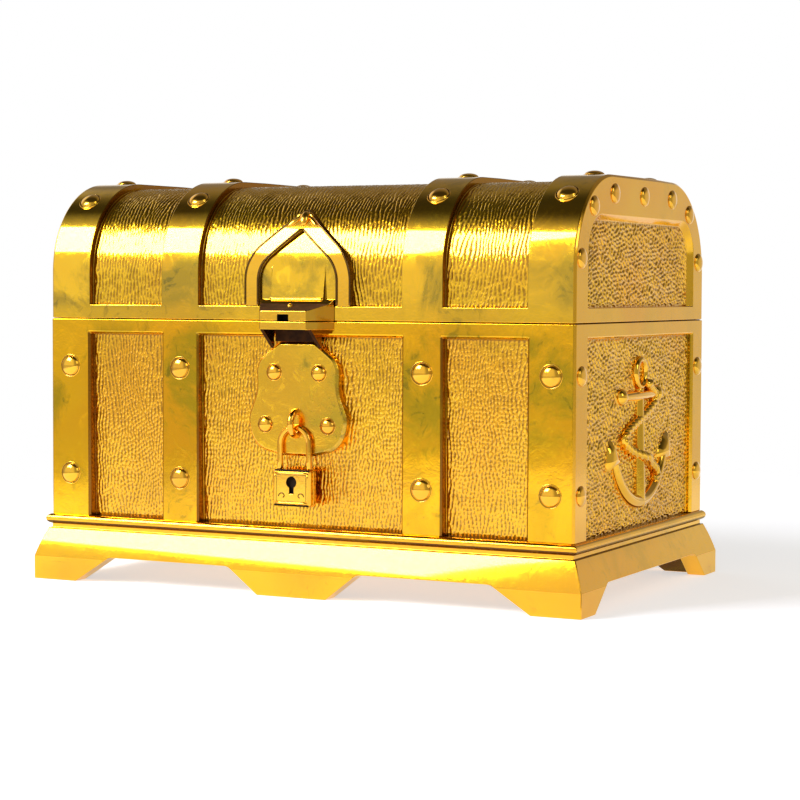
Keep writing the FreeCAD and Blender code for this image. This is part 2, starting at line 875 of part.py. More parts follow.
def arc_band(centre_z, radius, breadth, start, end, relief):
    """Raised band along an arc on the right-hand end field, between two angles from straight down."""
    floor = tub_half_width - side_field_depth
    points = {}
    for edge in (radius - breadth / 2, radius + breadth / 2):
        for angle in (start, (start + end) / 2, end):
            turn = math.radians(angle)
            points[edge, angle] = Vector(floor, edge * math.sin(turn), centre_z - edge * math.cos(turn))
    (inner, outer), middle = (radius - breadth / 2, radius + breadth / 2), (start + end) / 2
    edges = [
        Part.Arc(points[outer, start], points[outer, middle], points[outer, end]).toShape(),
        Part.makeLine(points[outer, end], points[inner, end]),
        Part.Arc(points[inner, end], points[inner, middle], points[inner, start]).toShape(),
        Part.makeLine(points[inner, start], points[outer, start]),
    ]
    return Part.Face(Part.Wire(edges)).extrude(along_x * relief)


def raised(corners, relief):
    """Raised shape with straight edges on the right-hand end field."""
    return prism(sharp(*corners), side_plane(tub_half_width - side_field_depth), along_x * relief)


def anchor_relief():
    """Anchor with ring, stock and flukes, standing out of the right-hand end field."""
    field_height = tub_rail_foot - plinth_height
    anchor_height = anchor_height_share * field_height
    anchor_width = anchor_width_share * anchor_height
    foot = plinth_height + (field_height - anchor_height) / 2
    top = foot + anchor_height
    ring_z = top - anchor_ring_radius - anchor_ring_breadth / 2
    shank_top = ring_z - anchor_ring_radius
    stock_z = foot + anchor_stock_place_share * anchor_height
    stock_half = anchor_width * anchor_stock_width_share / 2
    arm_reach = anchor_width / 2
    arm_z = foot + arm_reach + anchor_arm_breadth / 2
    pieces = [
        arc_band(ring_z, anchor_ring_radius, anchor_ring_breadth, 0, 180, anchor_ring_relief),
        arc_band(ring_z, anchor_ring_radius, anchor_ring_breadth, -180, 0, anchor_ring_relief),
        arc_band(
            arm_z, arm_reach, anchor_arm_breadth, -anchor_arm_sweep, anchor_arm_sweep, anchor_arm_relief
        ),
        raised(
            [
                (-stock_half, stock_z - anchor_stock_breadth / 2),
                (stock_half, stock_z - anchor_stock_breadth / 2),
                (stock_half, stock_z + anchor_stock_breadth / 2),
                (-stock_half, stock_z + anchor_stock_breadth / 2),
            ],
            anchor_stock_relief,
        ),
    ]
    turn = math.radians(anchor_arm_sweep)
    tip_y = arm_reach * math.sin(turn)
    tip_z = arm_z - arm_reach * math.cos(turn)
    bill = [
        (tip_y + anchor_fluke * across, tip_z + anchor_fluke * rise) for across, rise in anchor_fluke_shares
    ]
    fluke = raised(bill, anchor_fluke_relief)
    knob = raised(
        [
            (stock_half - anchor_stock_knob, stock_z),
            (stock_half, stock_z - anchor_stock_knob),
            (stock_half + anchor_stock_knob, stock_z),
            (stock_half, stock_z + anchor_stock_knob),
        ],
        anchor_arm_relief,
    )
    pieces += front_and_back(fluke) + front_and_back(knob)
    shank = raised(
        [
            (-anchor_shank_foot / 2, foot),
            (anchor_shank_foot / 2, foot),
            (anchor_shank_top / 2, shank_top),
            (-anchor_shank_top / 2, shank_top),
        ],
        anchor_shank_relief,
    )
    return shank.fuse(pieces).removeSplitter()


def export(name, shape):
    """Write one node, with the plan's middle between the clasp's front and the hinges' back."""
    placed = shape.copy()
    placed.translate(along_y * plan_shift)
    placed.exportStep(os.path.join("parts", name + ".step"))


os.makedirs("parts", exist_ok=True)
export("plinth_base", plinth_base())
export("floor_panel", floor_panel())
export("tub_shell", tub_shell())
export("lid_shell", lid_shell())
export("lid_clasp", lid_clasp())
export("catch_bracket", catch_bracket())
export("lock_plate", lock_plate())
export("lock_staple", lock_staple())
export("padlock_shackle", padlock_shackle())
export("padlock_case_front", padlock_case(True))
export("padlock_case_back", padlock_case(False))
export("lock_plate_rivets", studs(plate_stud_places(), plate_stud_radius, plate_stud_height))
export("lid_top_rivets", studs(lid_top_stud_places(), stud_radius, stud_height))
for side_name, side in (("left", -1), ("right", 1)):
    centre = side * mid_strap_centre
    export("hinge_tub_leaf_" + side_name, hinge_leaf(centre, False))
    export("hinge_lid_leaf_" + side_name, hinge_leaf(centre, True))
    export("hinge_pin_" + side_name, hinge_pin(centre))
    export("tub_" + side_name + "_rivets", studs(tub_end_stud_places(side), end_stud_radius, end_stud_height))
    export("lid_" + side_name + "_rivets", studs(lid_end_stud_places(side), end_stud_radius, end_stud_height))
for side_name, side in (("front", -1), ("back", 1)):
    export("tub_" + side_name + "_rivets", studs(tub_long_stud_places(side), stud_radius, stud_height))
    export("lid_" + side_name + "_rivets", studs(lid_shoulder_stud_places(side), stud_radius, stud_height))
for side_name, relief in zip(("right", "left"), left_and_right(anchor_relief())):
    export("side_relief_" + side_name, relief)
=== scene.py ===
import math

import bmesh
import bpy
import numpy as np
from mathutils import Matrix, Vector


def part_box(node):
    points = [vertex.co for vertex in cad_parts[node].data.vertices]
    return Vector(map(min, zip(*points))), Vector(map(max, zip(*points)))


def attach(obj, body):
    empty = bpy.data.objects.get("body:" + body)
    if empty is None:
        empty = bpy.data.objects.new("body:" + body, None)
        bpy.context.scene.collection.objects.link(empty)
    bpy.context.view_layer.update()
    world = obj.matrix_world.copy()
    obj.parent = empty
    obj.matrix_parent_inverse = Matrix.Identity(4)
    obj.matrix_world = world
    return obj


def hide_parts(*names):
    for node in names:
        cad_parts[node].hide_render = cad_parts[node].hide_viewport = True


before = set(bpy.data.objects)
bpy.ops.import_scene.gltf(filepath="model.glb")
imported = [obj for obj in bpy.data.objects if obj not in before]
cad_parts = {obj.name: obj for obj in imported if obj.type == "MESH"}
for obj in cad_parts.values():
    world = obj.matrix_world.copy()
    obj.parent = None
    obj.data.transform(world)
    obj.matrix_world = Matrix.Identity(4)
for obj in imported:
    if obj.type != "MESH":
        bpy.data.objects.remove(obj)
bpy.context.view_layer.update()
scene = bpy.context.scene

# Sizes and places are in millimetres, with the chest's own middle at the origin.
# The frame's origin lies SHIFT in front of that middle.
MM = 0.001
SHIFT = sum(corner.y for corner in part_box("tub_shell")) / 2 / MM


def node_box(node):
    """Lowest and highest corner of a CAD node, in chest millimetres."""
    return [corner / MM - Vector((0, SHIFT, 0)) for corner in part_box(node)]


TUB_X, TUB_Y, SEAM = node_box("tub_shell")[1]
PLINTH_TOP = node_box("tub_shell")[0].z
LID_X, LID_Y, TOP = node_box("lid_shell")[1]
LID_FOOT = node_box("lid_shell")[0].z
TUB_RAIL, LID_RAIL = 3.9, 3.7
TUB_RAIL_FOOT = SEAM - TUB_RAIL
LID_RAIL_TOP = LID_FOOT + LID_RAIL
FIELD_SPANS = ((-65.1, -41.9), (-30.3, 30.3), (41.9, 65.1))
FIELD_DEPTH_TOP, FIELD_DEPTH_FOOT = 2.0, 3.0
LID_FIELD_DEPTH = 1.8
END_FIELD_DEPTH, END_STRAP, LID_END_STRAP, LID_END_RIM = 1.6, 8.7, 9.8, 12.0
SIDE_FIELD_X = TUB_X - END_FIELD_DEPTH
SIDE_FIELD_Y = TUB_Y - END_STRAP
LID_END_X = LID_X - END_FIELD_DEPTH
LID_END_Y = LID_Y - LID_END_STRAP
LID_END_TOP = TOP - LID_END_RIM
LID_END_CORNER = 8.4
SHOULDER_R = 25.0
CROWN_R = 1500.0
SHOULDER_Y = LID_Y - SHOULDER_R
CROWN_Z = TOP - CROWN_R
SHOULDER_Z = CROWN_Z + math.sqrt((CROWN_R - SHOULDER_R) ** 2 - SHOULDER_Y ** 2)
LEAN = math.atan2(SHOULDER_Y, SHOULDER_Z - CROWN_Z)


# Mesh helpers

def in_frame(points):
    """Chest millimetres to frame metres."""
    return (np.asarray(points, float) + [0.0, SHIFT, 0.0]) * MM


def add_piece(mesh, name, body, materials, nodes=()):
    """Puts a mesh in the scene on its body, in the place of the CAD nodes given."""
    obj = bpy.data.objects.new(name, mesh)
    scene.collection.objects.link(obj)
    for material in materials:
        mesh.materials.append(material)
    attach(obj, body)
    if nodes:
        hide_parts(*nodes)
    return obj


def mesh_from(name, points, faces):
    """Smooth mesh from points in chest millimetres."""
    mesh = bpy.data.meshes.new(name)
    mesh.from_pydata([tuple(p) for p in in_frame(points)], [], faces)
    mesh.update()
    mesh.shade_smooth()
    return mesh


def joined(parts):
    """One point list and face list out of several."""
    points, faces = [], []
    for part_points, part_faces in parts:
        start = len(points)
        points.extend(tuple(p) for p in part_points)
        faces.extend(tuple(start + k for k in face) for face in part_faces)
    return points, faces


def face_outwards(mesh):
    """Turns all faces of closed forms outwards."""
    bm = bmesh.new()
    bm.from_mesh(mesh)
    bmesh.ops.recalc_face_normals(bm, faces=bm.faces)
    bm.to_mesh(mesh)
    bm.free()
    mesh.shade_smooth()
    return mesh


def rings_faces(rings, sides, closed_path=False):
    """Four-cornered faces between rings of points, one after the other."""
    faces = []
    last = rings if closed_path else rings - 1
    for r in range(last):
        a, b = r * sides, ((r + 1) % rings) * sides
        for k in range(sides):
            n = (k + 1) % sides
            faces.append((a + k, a + n, b + n, b + k))
    return faces


def tube(path, radii, sides=20, closed_path=False, squash=None, strands=None):
    """Round bar along a path. radii is one radius or one per point; squash is (direction, share);
    strands is (count, pitch, depth share) of a twisted rope."""
    path = [Vector(p) for p in path]
    count = len(path)
    radii = [radii] * count if isinstance(radii, (int, float)) else list(radii)
    points = []
    side = None
    run = 0.0
    for i, centre in enumerate(path):
        before = path[i - 1] if i or closed_path else centre
        after = path[(i + 1) % count] if i < count - 1 or closed_path else centre
        tangent = (after - before).normalized()
        if side is None:
            helper = Vector((1, 0, 0)) if abs(tangent.x) < 0.9 else Vector((0, 1, 0))
            side = tangent.cross(helper).normalized()
        else:
            run += (centre - path[i - 1]).length
        side = (side - tangent * side.dot(tangent)).normalized()
        other = tangent.cross(side)
        for k in range(sides):
            angle = 2 * math.pi * k / sides
            radius = radii[i]
            if strands:
                number, pitch, depth = strands
                radius *= 1 + depth * math.cos(number * (angle - 2 * math.pi * run / pitch))
            offset = (side * math.cos(angle) + other * math.sin(angle)) * radius
            if squash:
                offset += squash[0] * offset.dot(squash[0]) * (squash[1] - 1)
            points.append(centre + offset)
    faces = rings_faces(count, sides, closed_path)
    if not closed_path:
        faces.append(tuple(reversed(range(sides))))
        faces.append(tuple(range((count - 1) * sides, count * sides)))
    return points, faces


def lathe(profile, centre, axis, sides=28):
    """Round form from (radius, height) pairs, base first, tip last at radius zero."""
    turn = Vector((0, 0, 1)).rotation_difference(Vector(axis)).to_matrix()
    centre = Vector(centre)
    points = []
    for radius, height in profile[:-1]:
        for k in range(sides):
            angle = 2 * math.pi * k / sides
            points.append(centre + turn @ Vector((radius * math.cos(angle), radius * math.sin(angle), height)))
    points.append(centre + turn @ Vector((0, 0, profile[-1][1])))
    tip = len(points) - 1
    faces = rings_faces(len(profile) - 1, sides)
    start = (len(profile) - 2) * sides
    faces += [(start + k, start + (k + 1) % sides, tip) for k in range(sides)]
    return points, faces


# A stud's collar takes COLLAR_RINGS rings of points under the rows of its dome. Its groove starts at GROOVE_RING.
DOME_ROWS, COLLAR_RINGS, GROOVE_RING = 8, 5, 3
COLLAR_SHARE, END_STUD_SHARE = 0.17, 1.06


def dome_profile(radius, height, rows=DOME_ROWS, collar=0.0):
    """Domed head. A collar is a thin moulded ring around its foot, as wide as that share of the radius."""
    profile = []
    if collar:
        outer = radius * (1 + collar)
        profile += [(outer, -0.3), (outer, 0.05), (outer - 0.12, 0.13)]
        profile += [(radius * 1.1, 0.11), (radius * 1.03, -0.02)]
    profile.append((radius * 0.985, 0.02))
    for k in range(1, rows):
        angle = math.pi / 2 * k / rows
        profile.append((radius * 0.98 * math.cos(angle), height * (0.05 + 0.95 * math.sin(angle))))
    profile.append((0.0, height))
    return profile


def node_parts(node):
    """Points of each separate solid of a CAD node, in chest millimetres."""
    bm = bmesh.new()
    bm.from_mesh(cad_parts[node].data)
    bmesh.ops.remove_doubles(bm, verts=bm.verts, dist=1e-6)
    left = set(bm.verts)
    parts = []
    while left:
        stack = [left.pop()]
        part = []
        while stack:
            vert = stack.pop()
            part.append(np.array(vert.co) / MM - [0, SHIFT, 0])
            for edge in vert.link_edges:
                other = edge.other_vert(vert)
                if other in left:
                    left.remove(other)
                    stack.append(other)
        parts.append(np.array(part))
    bm.free()
    return sorted(parts, key=lambda p: tuple(np.round(p.mean(0), 3)))


def stud_places(node):
    """Foot, direction, radius and height of each stud of a CAD node."""
    places = []
    for part in node_parts(node):
        reach = np.linalg.norm(part - part.mean(0), axis=1)
        order = np.argsort(reach)
        foot, head = part[order[-10:]], part[order[:10]]
        axis = head.mean(0) - foot.mean(0)
        height = np.linalg.norm(axis)
        radius = np.linalg.norm(foot - foot.mean(0), axis=1).mean()
        places.append((foot.mean(0), axis / height, radius, height))
    return places


def stud_piece(node, name, body, materials):
    """Studs of a CAD node: collared heads, with the second material as painted shade in the groove around each,
    or plain, fuller heads on the chest's ends."""
    parts = []
    grooves = []
    for foot, axis, radius, height in stud_places(node):
        if abs(axis[0]) > 0.9:
            points, faces = lathe(dome_profile(END_STUD_SHARE * radius, height, 10), foot, axis)
            grooves += [0] * len(faces)
        else:
            points, faces = lathe(dome_profile(radius, height, collar=COLLAR_SHARE), foot, axis)
            ring = len(points) // (DOME_ROWS + COLLAR_RINGS)
            grooves += [int(GROOVE_RING * ring <= min(face) < COLLAR_RINGS * ring) for face in faces]
        parts.append((points, faces))
    mesh = mesh_from(name, *joined(parts))
    mesh.polygons.foreach_set("material_index", grooves)
    return add_piece(mesh, name, body, materials, [node])


def dress(node, name, body, materials, width, pick=None, shape=None, crease=None):
    """Copy of a CAD node with softened edges. pick gives a face's material from its middle and normal;
    shape moves a point of the copy; crease is the bend in degrees from which an edge stays crisp."""
    bm = bmesh.new()
    bm.from_mesh(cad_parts[node].data)
    if shape:
        for vert in bm.verts:
            vert.co = Vector(in_frame(shape(vert.co / MM - Vector((0, SHIFT, 0)))))
    for layers in (bm.loops.layers.float_vector, bm.loops.layers.uv):
        for layer in list(layers.values()):
            layers.remove(layer)
    bmesh.ops.remove_doubles(bm, verts=bm.verts, dist=2e-6)
    bmesh.ops.dissolve_limit(
        bm, angle_limit=math.radians(0.6), use_dissolve_boundaries=False, verts=bm.verts, edges=bm.edges
    )
    bm.normal_update()
    if pick:
        for face in bm.faces:
            middle = Vector(face.calc_center_median()) / MM - Vector((0, SHIFT, 0))
            face.material_index = int(pick(middle, face.normal))
    clean = bpy.data.meshes.new(name)
    bm.to_mesh(clean)
    bm.free()
    for extra in ("custom_normal", "sharp_edge", "sharp_face"):
        if extra in clean.attributes:
            clean.attributes.remove(clean.attributes[extra])
    clean.shade_smooth()
    if crease:
        clean.set_sharp_from_angle(angle=math.radians(crease))
    obj = add_piece(clean, name, body, materials, [node])
    bevel = obj.modifiers.new("edges", "BEVEL")
    bevel.width = width * MM
    bevel.segments = 3
    bevel.limit_method = "ANGLE"
    bevel.angle_limit = math.radians(24)
    bevel.use_clamp_overlap = False
    bevel.miter_outer = "MITER_ARC"
    bevel.harden_normals = True
    return obj


# Height patterns of the moulded fields

def lattice_noise(u, v, seed):
    """Smooth noise from -1 to 1 with one cell per unit."""
    table = np.random.RandomState(seed).uniform(-1, 1, (256, 256))
    iu, iv = np.floor(u).astype(int), np.floor(v).astype(int)
    fu, fv = u - iu, v - iv
    fu, fv = fu * fu * (3 - 2 * fu), fv * fv * (3 - 2 * fv)
    a = table[iu % 256, iv % 256] * (1 - fu) + table[(iu + 1) % 256, iv % 256] * fu
    b = table[iu % 256, (iv + 1) % 256] * (1 - fu) + table[(iu + 1) % 256, (iv + 1) % 256] * fu
    return a * (1 - fv) + b * fv


def wave_field(u, v, seed, pitch, spread, count=30):
    """Random crests of about one pitch that keep within an angle, the spread, of the v direction."""
    draw = np.random.RandomState(seed)
    total = np.zeros_like(u)
    for _ in range(count):
        turn = draw.uniform(-spread, spread)
        step = 2 * math.pi / (pitch * draw.uniform(0.8, 1.25))
        total += np.cos(step * (u * math.cos(turn) + v * math.sin(turn)) + draw.uniform(0, 2 * math.pi))
    return total / math.sqrt(count / 2)


def wood_relief(u, v, seed, middle, centre, pitch, amount):
    """Moulded wood grain: broken, beaded ridges along v that sway about the middle."""
    bend = 0.7 * lattice_noise(u / 9, v / 26, seed) + 0.3 * lattice_noise(u / 3.6, v / 9, seed + 1)
    bend += 1.2 * np.exp(-((u - middle) / 5) ** 2) * np.sin((v - centre) / 9)
    ridges = np.clip((wave_field(u + bend, v, seed + 2, pitch, 0.22, 60) + 0.9) / 1.5, 0, 1)
    beads = np.tanh(1.2 * wave_field(u, v, seed + 3, 0.95, math.pi / 2))
    return amount * (0.6 * ridges * ridges * (3 - 2 * ridges) + 0.2 + 0.2 * beads)


def bordered(rise, *distances):
    """Lets a field's relief run out in a groove along its edges."""
    return rise * np.clip(np.minimum.reduce(distances) / 0.8, 0.08, 1)


def pebble_relief(u, v, seed, pitch, amount):
    """Moulded stipple: short winding bumps, a little longer along u."""
    bumps = np.clip((wave_field(0.6 * u, v, seed, pitch, math.pi / 2, 50) + 1.0) / 1.8, 0, 1)
    return amount * bumps * bumps * (3 - 2 * bumps)


def sheet_piece(name, body, material, u, v, relief, place):
    """Fine sheet of moulded relief. place gives points and outward directions for the u and v grids."""
    uu, vv = np.meshgrid(u, v, indexing="ij")
    base, out = place(uu, vv)
    height = relief(uu, vv)
    points = (base + out * (height + 0.02)[..., None]).reshape(-1, 3)
    nu, nv = len(u), len(v)
    index = np.arange(nu * nv).reshape(nu, nv)
    faces = np.stack([index[:-1, :-1], index[1:, :-1], index[1:, 1:], index[:-1, 1:]], -1).reshape(-1, 4)
    corner = points[faces[0]]
    normal = np.cross(corner[1] - corner[0], corner[2] - corner[0])
    if normal @ out.reshape(-1, 3)[0] < 0:
        faces = faces[:, ::-1]
    mesh = mesh_from(name, points, faces.tolist())
    tone = mesh.attributes.new("relief", "FLOAT", "POINT")
    tone.data.foreach_set("value", (height / height.max()).astype(np.float32).ravel())
    return add_piece(mesh, name, body, [material])


def steps(low, high, pitch):
    """Even steps of about one pitch."""
    return np.linspace(low, high, max(2, int(round((high - low) / pitch)) + 1))


def lid_profile(s, inset):
    """Depth, height and outward direction at a length s along the lid's arch, from the front rail back."""
    shoulder, crown = SHOULDER_R - inset, CROWN_R - inset
    wall = SHOULDER_Z - LID_RAIL_TOP
    arc = shoulder * (math.pi / 2 - LEAN)
    half = crown * LEAN
    total = 2 * (wall + arc + half)
    t = np.minimum(s, total - s)
    sign = np.where(s <= total / 2, -1.0, 1.0)
    on_wall = t < wall
    on_arc = ~on_wall & (t < wall + arc)
    tilt = np.where(on_arc, (t - wall) / shoulder, 0.0)
    lean = (wall + arc + half - t) / crown
    flank = on_wall | on_arc
    y = np.where(on_arc, SHOULDER_Y + shoulder * np.cos(tilt), crown * np.sin(lean))
    y = np.where(on_wall, LID_Y - inset, y)
    z = np.where(on_arc, SHOULDER_Z + shoulder * np.sin(tilt), CROWN_Z + crown * np.cos(lean))
    z = np.where(on_wall, LID_RAIL_TOP + t, z)
    ny = np.where(flank, np.cos(tilt), np.sin(lean))
    nz = np.where(flank, np.sin(tilt), np.cos(lean))
    return sign * y, z, sign * ny, nz, total


# Materials

def add_node(tree, kind, props=None, **inputs):
    """Shader node with its inputs set or linked; an input named _2 is the third one."""
    item = tree.nodes.new(kind)
    for key, value in (props or {}).items():
        setattr(item, key, value)
    for key, value in inputs.items():
        numbered = key[0] == "_" and key[1:].isdigit()
        socket = item.inputs[int(key[1:])] if numbered else item.inputs[key.replace("_", " ")]
        if isinstance(value, bpy.types.NodeSocket):
            tree.links.new(value, socket)
        else:
            socket.default_value = value
    return item


def noise_out(tree, where, scale, detail=2.0, rough=0.5, distortion=0.0):
    item = add_node(
        tree, "ShaderNodeTexNoise", Vector=where, Scale=scale, Detail=detail, Roughness=rough, Distortion=distortion
    )
    return item.outputs["Fac"]


def ramp_out(tree, value, low, high, to_low=0.0, to_high=1.0):
    """Smooth step from to_low to to_high while the value goes from low to high."""
    item = add_node(
        tree, "ShaderNodeMapRange", {"interpolation_type": "SMOOTHSTEP"},
        Value=value, From_Min=low, From_Max=high, To_Min=to_low, To_Max=to_high,
    )
    return item.outputs[0]


def mixed(tree, share, first, second):
    item = add_node(tree, "ShaderNodeMix", {"data_type": "RGBA"}, _0=share, _6=first, _7=second)
    return item.outputs[2]


def sum_out(tree, first, second, kind="ADD"):
    return add_node(tree, "ShaderNodeMath", {"operation": kind}, _0=first, _1=second).outputs[0]


def bump_out(tree, height, distance, before=None):
    """Uneven skin, its height in millimetres, on top of the one before."""
    item = add_node(tree, "ShaderNodeBump", Height=height, Strength=1.0, Distance=distance * MM)
    if before:
        tree.links.new(before, item.inputs["Normal"])
    return item.outputs[0]


BRIGHT = (0.93, 0.50, 0.006, 1)
YELLOW = (0.93, 0.55, 0.006, 1)
SMOKE = (0.46, 0.29, 0.004, 1)
OLIVE = (0.2, 0.14, 0.004, 1)
# Dark recess colour: painted shade for grooves and the narrow sides of the fields.
RECESS_SHADE = (0.30, 0.12, 0.003, 1)
# Dark brown tint of painted shade in crevices.
CREVICE_SHADE_BROWN = (0.13, 0.062, 0.008, 1)
DULL = (0.84, 0.5, 0.006, 1)
EDGE_TINT = (1.0, 0.82, 0.45, 1)


def gold(name, roughness, grime=0.5, wobble=0.1, relief=0.0, coat=1.0, tint=BRIGHT, zone=None):
    """Vacuum-plated gold on moulded plastic: cloudy smudges, worn strokes and an uneven skin.
    relief is the share of painted shade, a dark recess colour, on the low parts of the sheet's relief.
    zone is the span of heights that hands have worn most."""
    material = bpy.data.materials.new(name)
    material.use_nodes = True
    tree = material.node_tree
    shader = tree.nodes["Principled BSDF"]
    shader.inputs["Metallic"].default_value = 1.0
    shader.inputs["Specular Tint"].default_value = EDGE_TINT
    shader.inputs["Coat Weight"].default_value = coat
    shader.inputs["Coat Roughness"].default_value = 0.05
    where = tree.nodes.new("ShaderNodeTexCoord").outputs["Object"]
    broad = noise_out(tree, where, 34, 2.0)
    smudge = noise_out(tree, where, 44, 5.0, 0.6, distortion=0.8)
    strokes = noise_out(tree, where, 130, 4.0, 0.6, distortion=2.4)
    specks = noise_out(tree, where, 900, 3.0, 0.6)
    warm = [share * channel for share, channel in zip((0.97, 0.86, 0.9, 1), tint)]
    tone = mixed(tree, ramp_out(tree, broad, 0.35, 0.68), tint, warm)
    smoky = ramp_out(tree, smudge, 0.53 - 0.1 * grime, 0.71 - 0.1 * grime, 0.0, min(1.0, 1.3 * grime))
    scuffed = ramp_out(tree, strokes, 0.59 - 0.05 * grime, 0.70 - 0.05 * grime, 0.0, min(1.0, grime))
    if zone:
        height = add_node(tree, "ShaderNodeSeparateXYZ", Vector=where).outputs["Z"]
        rising = ramp_out(tree, height, (zone[0] - 3) * MM, (zone[0] + 1) * MM, 0.4, 1.0)
        falling = ramp_out(tree, height, (zone[1] - 1) * MM, (zone[1] + 3) * MM, 1.0, 0.4)
        handled = sum_out(tree, rising, falling, "MULTIPLY")
        smoky, scuffed = sum_out(tree, smoky, handled, "MULTIPLY"), sum_out(tree, scuffed, handled, "MULTIPLY")
    worn = sum_out(tree, smoky, scuffed)
    tone = mixed(tree, smoky, tone, SMOKE)
    tone = mixed(tree, sum_out(tree, scuffed, ramp_out(tree, smudge, 0.4, 0.6), "MULTIPLY"), tone, OLIVE)
    if relief:
        height = add_node(tree, "ShaderNodeAttribute", {"attribute_name": "relief"}).outputs["Fac"]
        # Painted shade: the low parts of the relief go to the dark recess colour.
        tone = mixed(tree, ramp_out(tree, height, 0.12, 0.55, relief, 0.0), tone, RECESS_SHADE)
    tree.links.new(tone, shader.inputs["Base Color"])
    uneven = sum_out(tree, sum_out(tree, worn, 0.12, "MULTIPLY"), ramp_out(tree, specks, 0.4, 0.8, 0.0, 0.04))
    tree.links.new(sum_out(tree, uneven, roughness), shader.inputs["Roughness"])
    skin = bump_out(tree, noise_out(tree, where, 60, 2.0), wobble)
    skin = bump_out(tree, strokes, 0.2 * wobble, skin)
    skin = bump_out(tree, specks, 0.008, skin)
    tree.links.new(skin, shader.inputs["Normal"])
    return material


def shade_plastic(name, dark, light):
    """Dull dark plastic for painted shade in holes, gaps and undersides."""
    material = bpy.data.materials.new(name)
    material.use_nodes = True
    tree = material.node_tree
    shader = tree.nodes["Principled BSDF"]
    where = tree.nodes.new("ShaderNodeTexCoord").outputs["Object"]
    blotches = noise_out(tree, where, 400, 3.0)
    tree.links.new(mixed(tree, ramp_out(tree, blotches, 0.35, 0.65), dark, light), shader.inputs["Base Color"])
    tree.links.new(ramp_out(tree, blotches, 0.3, 0.7, 0.7, 0.85), shader.inputs["Roughness"])
    shader.inputs["Specular IOR Level"].default_value = 0.15
    return material


TUB_WORN = (44, TUB_RAIL_FOOT)
LID_WORN = (LID_RAIL_TOP + 1, LID_RAIL_TOP + 12)
plated = gold("plated_gold", 0.08, 0.88, 0.12, coat=0.35, zone=TUB_WORN)
plated_end = gold("plated_gold_end", 0.16, 0.15, 0.08, coat=0.8)
plated_lid = gold("plated_gold_lid", 0.07, 1.5, 0.05, coat=0.85, tint=YELLOW, zone=LID_WORN)
plated_foot = gold("plated_gold_foot", 0.09, 0.25, 0.05, coat=0.75)
satin = gold("satin_gold", 0.17, 0.95, 0.4, tint=DULL)
polished = gold("polished_gold", 0.07, 0.2, 0.04)
# relief in these three is the share of painted shade in the grooves.
grained = gold("grained_gold", 0.16, 0.2, 0.04, relief=0.82, coat=0.8)
grained_lid = gold("grained_gold_lid", 0.17, 0.2, 0.04, relief=0.75, coat=0.8, tint=YELLOW)
stippled = gold("stippled_gold", 0.14, 0.15, 0.04, relief=0.62, coat=0.85)
inner = gold("inner_gold", 0.36, 0.5, 0.2, coat=0.2)
pivot = gold("hinge_brass", 0.22, 0.4, 0.06, coat=0.1)
# Painted shade in creases, stud grooves, under the plinth's mouldings, on inward faces and in dark outline bars.
crevice_shade = gold("crevice_shade_gold", 0.25, 0.2, 0.04, coat=0.3, tint=CREVICE_SHADE_BROWN)
# Painted shade on the narrow sides of the sunk fields and on the catch's outer gussets.
wall_shade_gold = gold("wall_shade_gold", 0.2, 0.3, 0.04, coat=0.3, tint=RECESS_SHADE)
hollow = shade_plastic("hole_shadow", (0.008, 0.005, 0.003, 1), (0.022, 0.012, 0.005, 1))
# Painted shade and a painted dark reflection: seam bar, lip top, bracket underside and the wall behind the catch.
dark_shade = shade_plastic("dark_shade_brown", (0.034, 0.011, 0.003, 1), (0.08, 0.028, 0.007, 1))


# Shells

TUB_INSIDE_X, TUB_INSIDE_Y = 74.3, 42.9
LID_INSIDE_X, LID_WALL = 74.4, 3.0
WELL_X, WELL_Y, MOULDING_FOOT = 76.4, 46.4, 9.0
END_FACE = 8.0
FOOT_X, FOOT_Y = node_box("plinth_base")[1].xy
SKIRT_FOOT, SKIRT_TOP, SKIRT_OUTSET = 6.3, 14.1, 2.9
SKIRT_CREASE = 12
SWELL_CUT = 0.58
BEVEL_ROOM = 0.9999
RECESS_HALF, LIP_DROP = 11.6, 10.0
KEEPER_HALF, KEEPER_DEPTH, KEEPER_RISE = 1.7, (0.2, 3.2), (0.1, 1.7)
KEYHOLE_HALF, KEYHOLE_DEPTH = 1.6, (0.1, 1.2)
TONGUE_TOP, TONGUE_TOP_Y, TONGUE_HALF = LID_FOOT + 14.4, -LID_Y + 0.67, 8.0
TONGUE_FOOT = LID_RAIL_TOP + 1.7
CLASP_FRONT = node_box("lid_clasp")[0].y
CASE_FACE = node_box("padlock_case_front")[0].y


def between(value, span):
    return span[0] < value < span[1]


def lid_depth(middle):
    """How far a point lies under the lid's strap skin."""
    y, z = abs(middle.y), middle.z
    if z < SHOULDER_Z:
        return LID_Y - y
    if math.atan2(y, z - CROWN_Z) > LEAN:
        return SHOULDER_R - math.hypot(y - SHOULDER_Y, z - SHOULDER_Z)
    return CROWN_R - math.hypot(y, z - CROWN_Z)


def shell_material(inside):
    """Picks inner gold inside the walls, dark gold as painted shade on the narrow sides of the fields
    and clean gold on the ends."""
    def pick(middle, normal):
        sideways = abs(normal.x) > 0.6
        if sideways and abs(middle.x) < TUB_X - END_FACE:
            return 2
        if inside(middle):
            return 1
        return 3 if sideways else 0
    return pick


def in_tub(middle):
    return abs(middle.x) < TUB_INSIDE_X and abs(middle.y) < TUB_INSIDE_Y


def in_lid(middle):
    return abs(middle.x) < LID_INSIDE_X and lid_depth(middle) > LID_WALL


def plinth_material(middle, normal):
    """Picks dark gold as painted shade inside the plinth and under its mouldings."""
    inside = abs(middle.x) < WELL_X and abs(middle.y) < WELL_Y
    return inside or (normal.z < -0.35 and middle.z > MOULDING_FOOT)


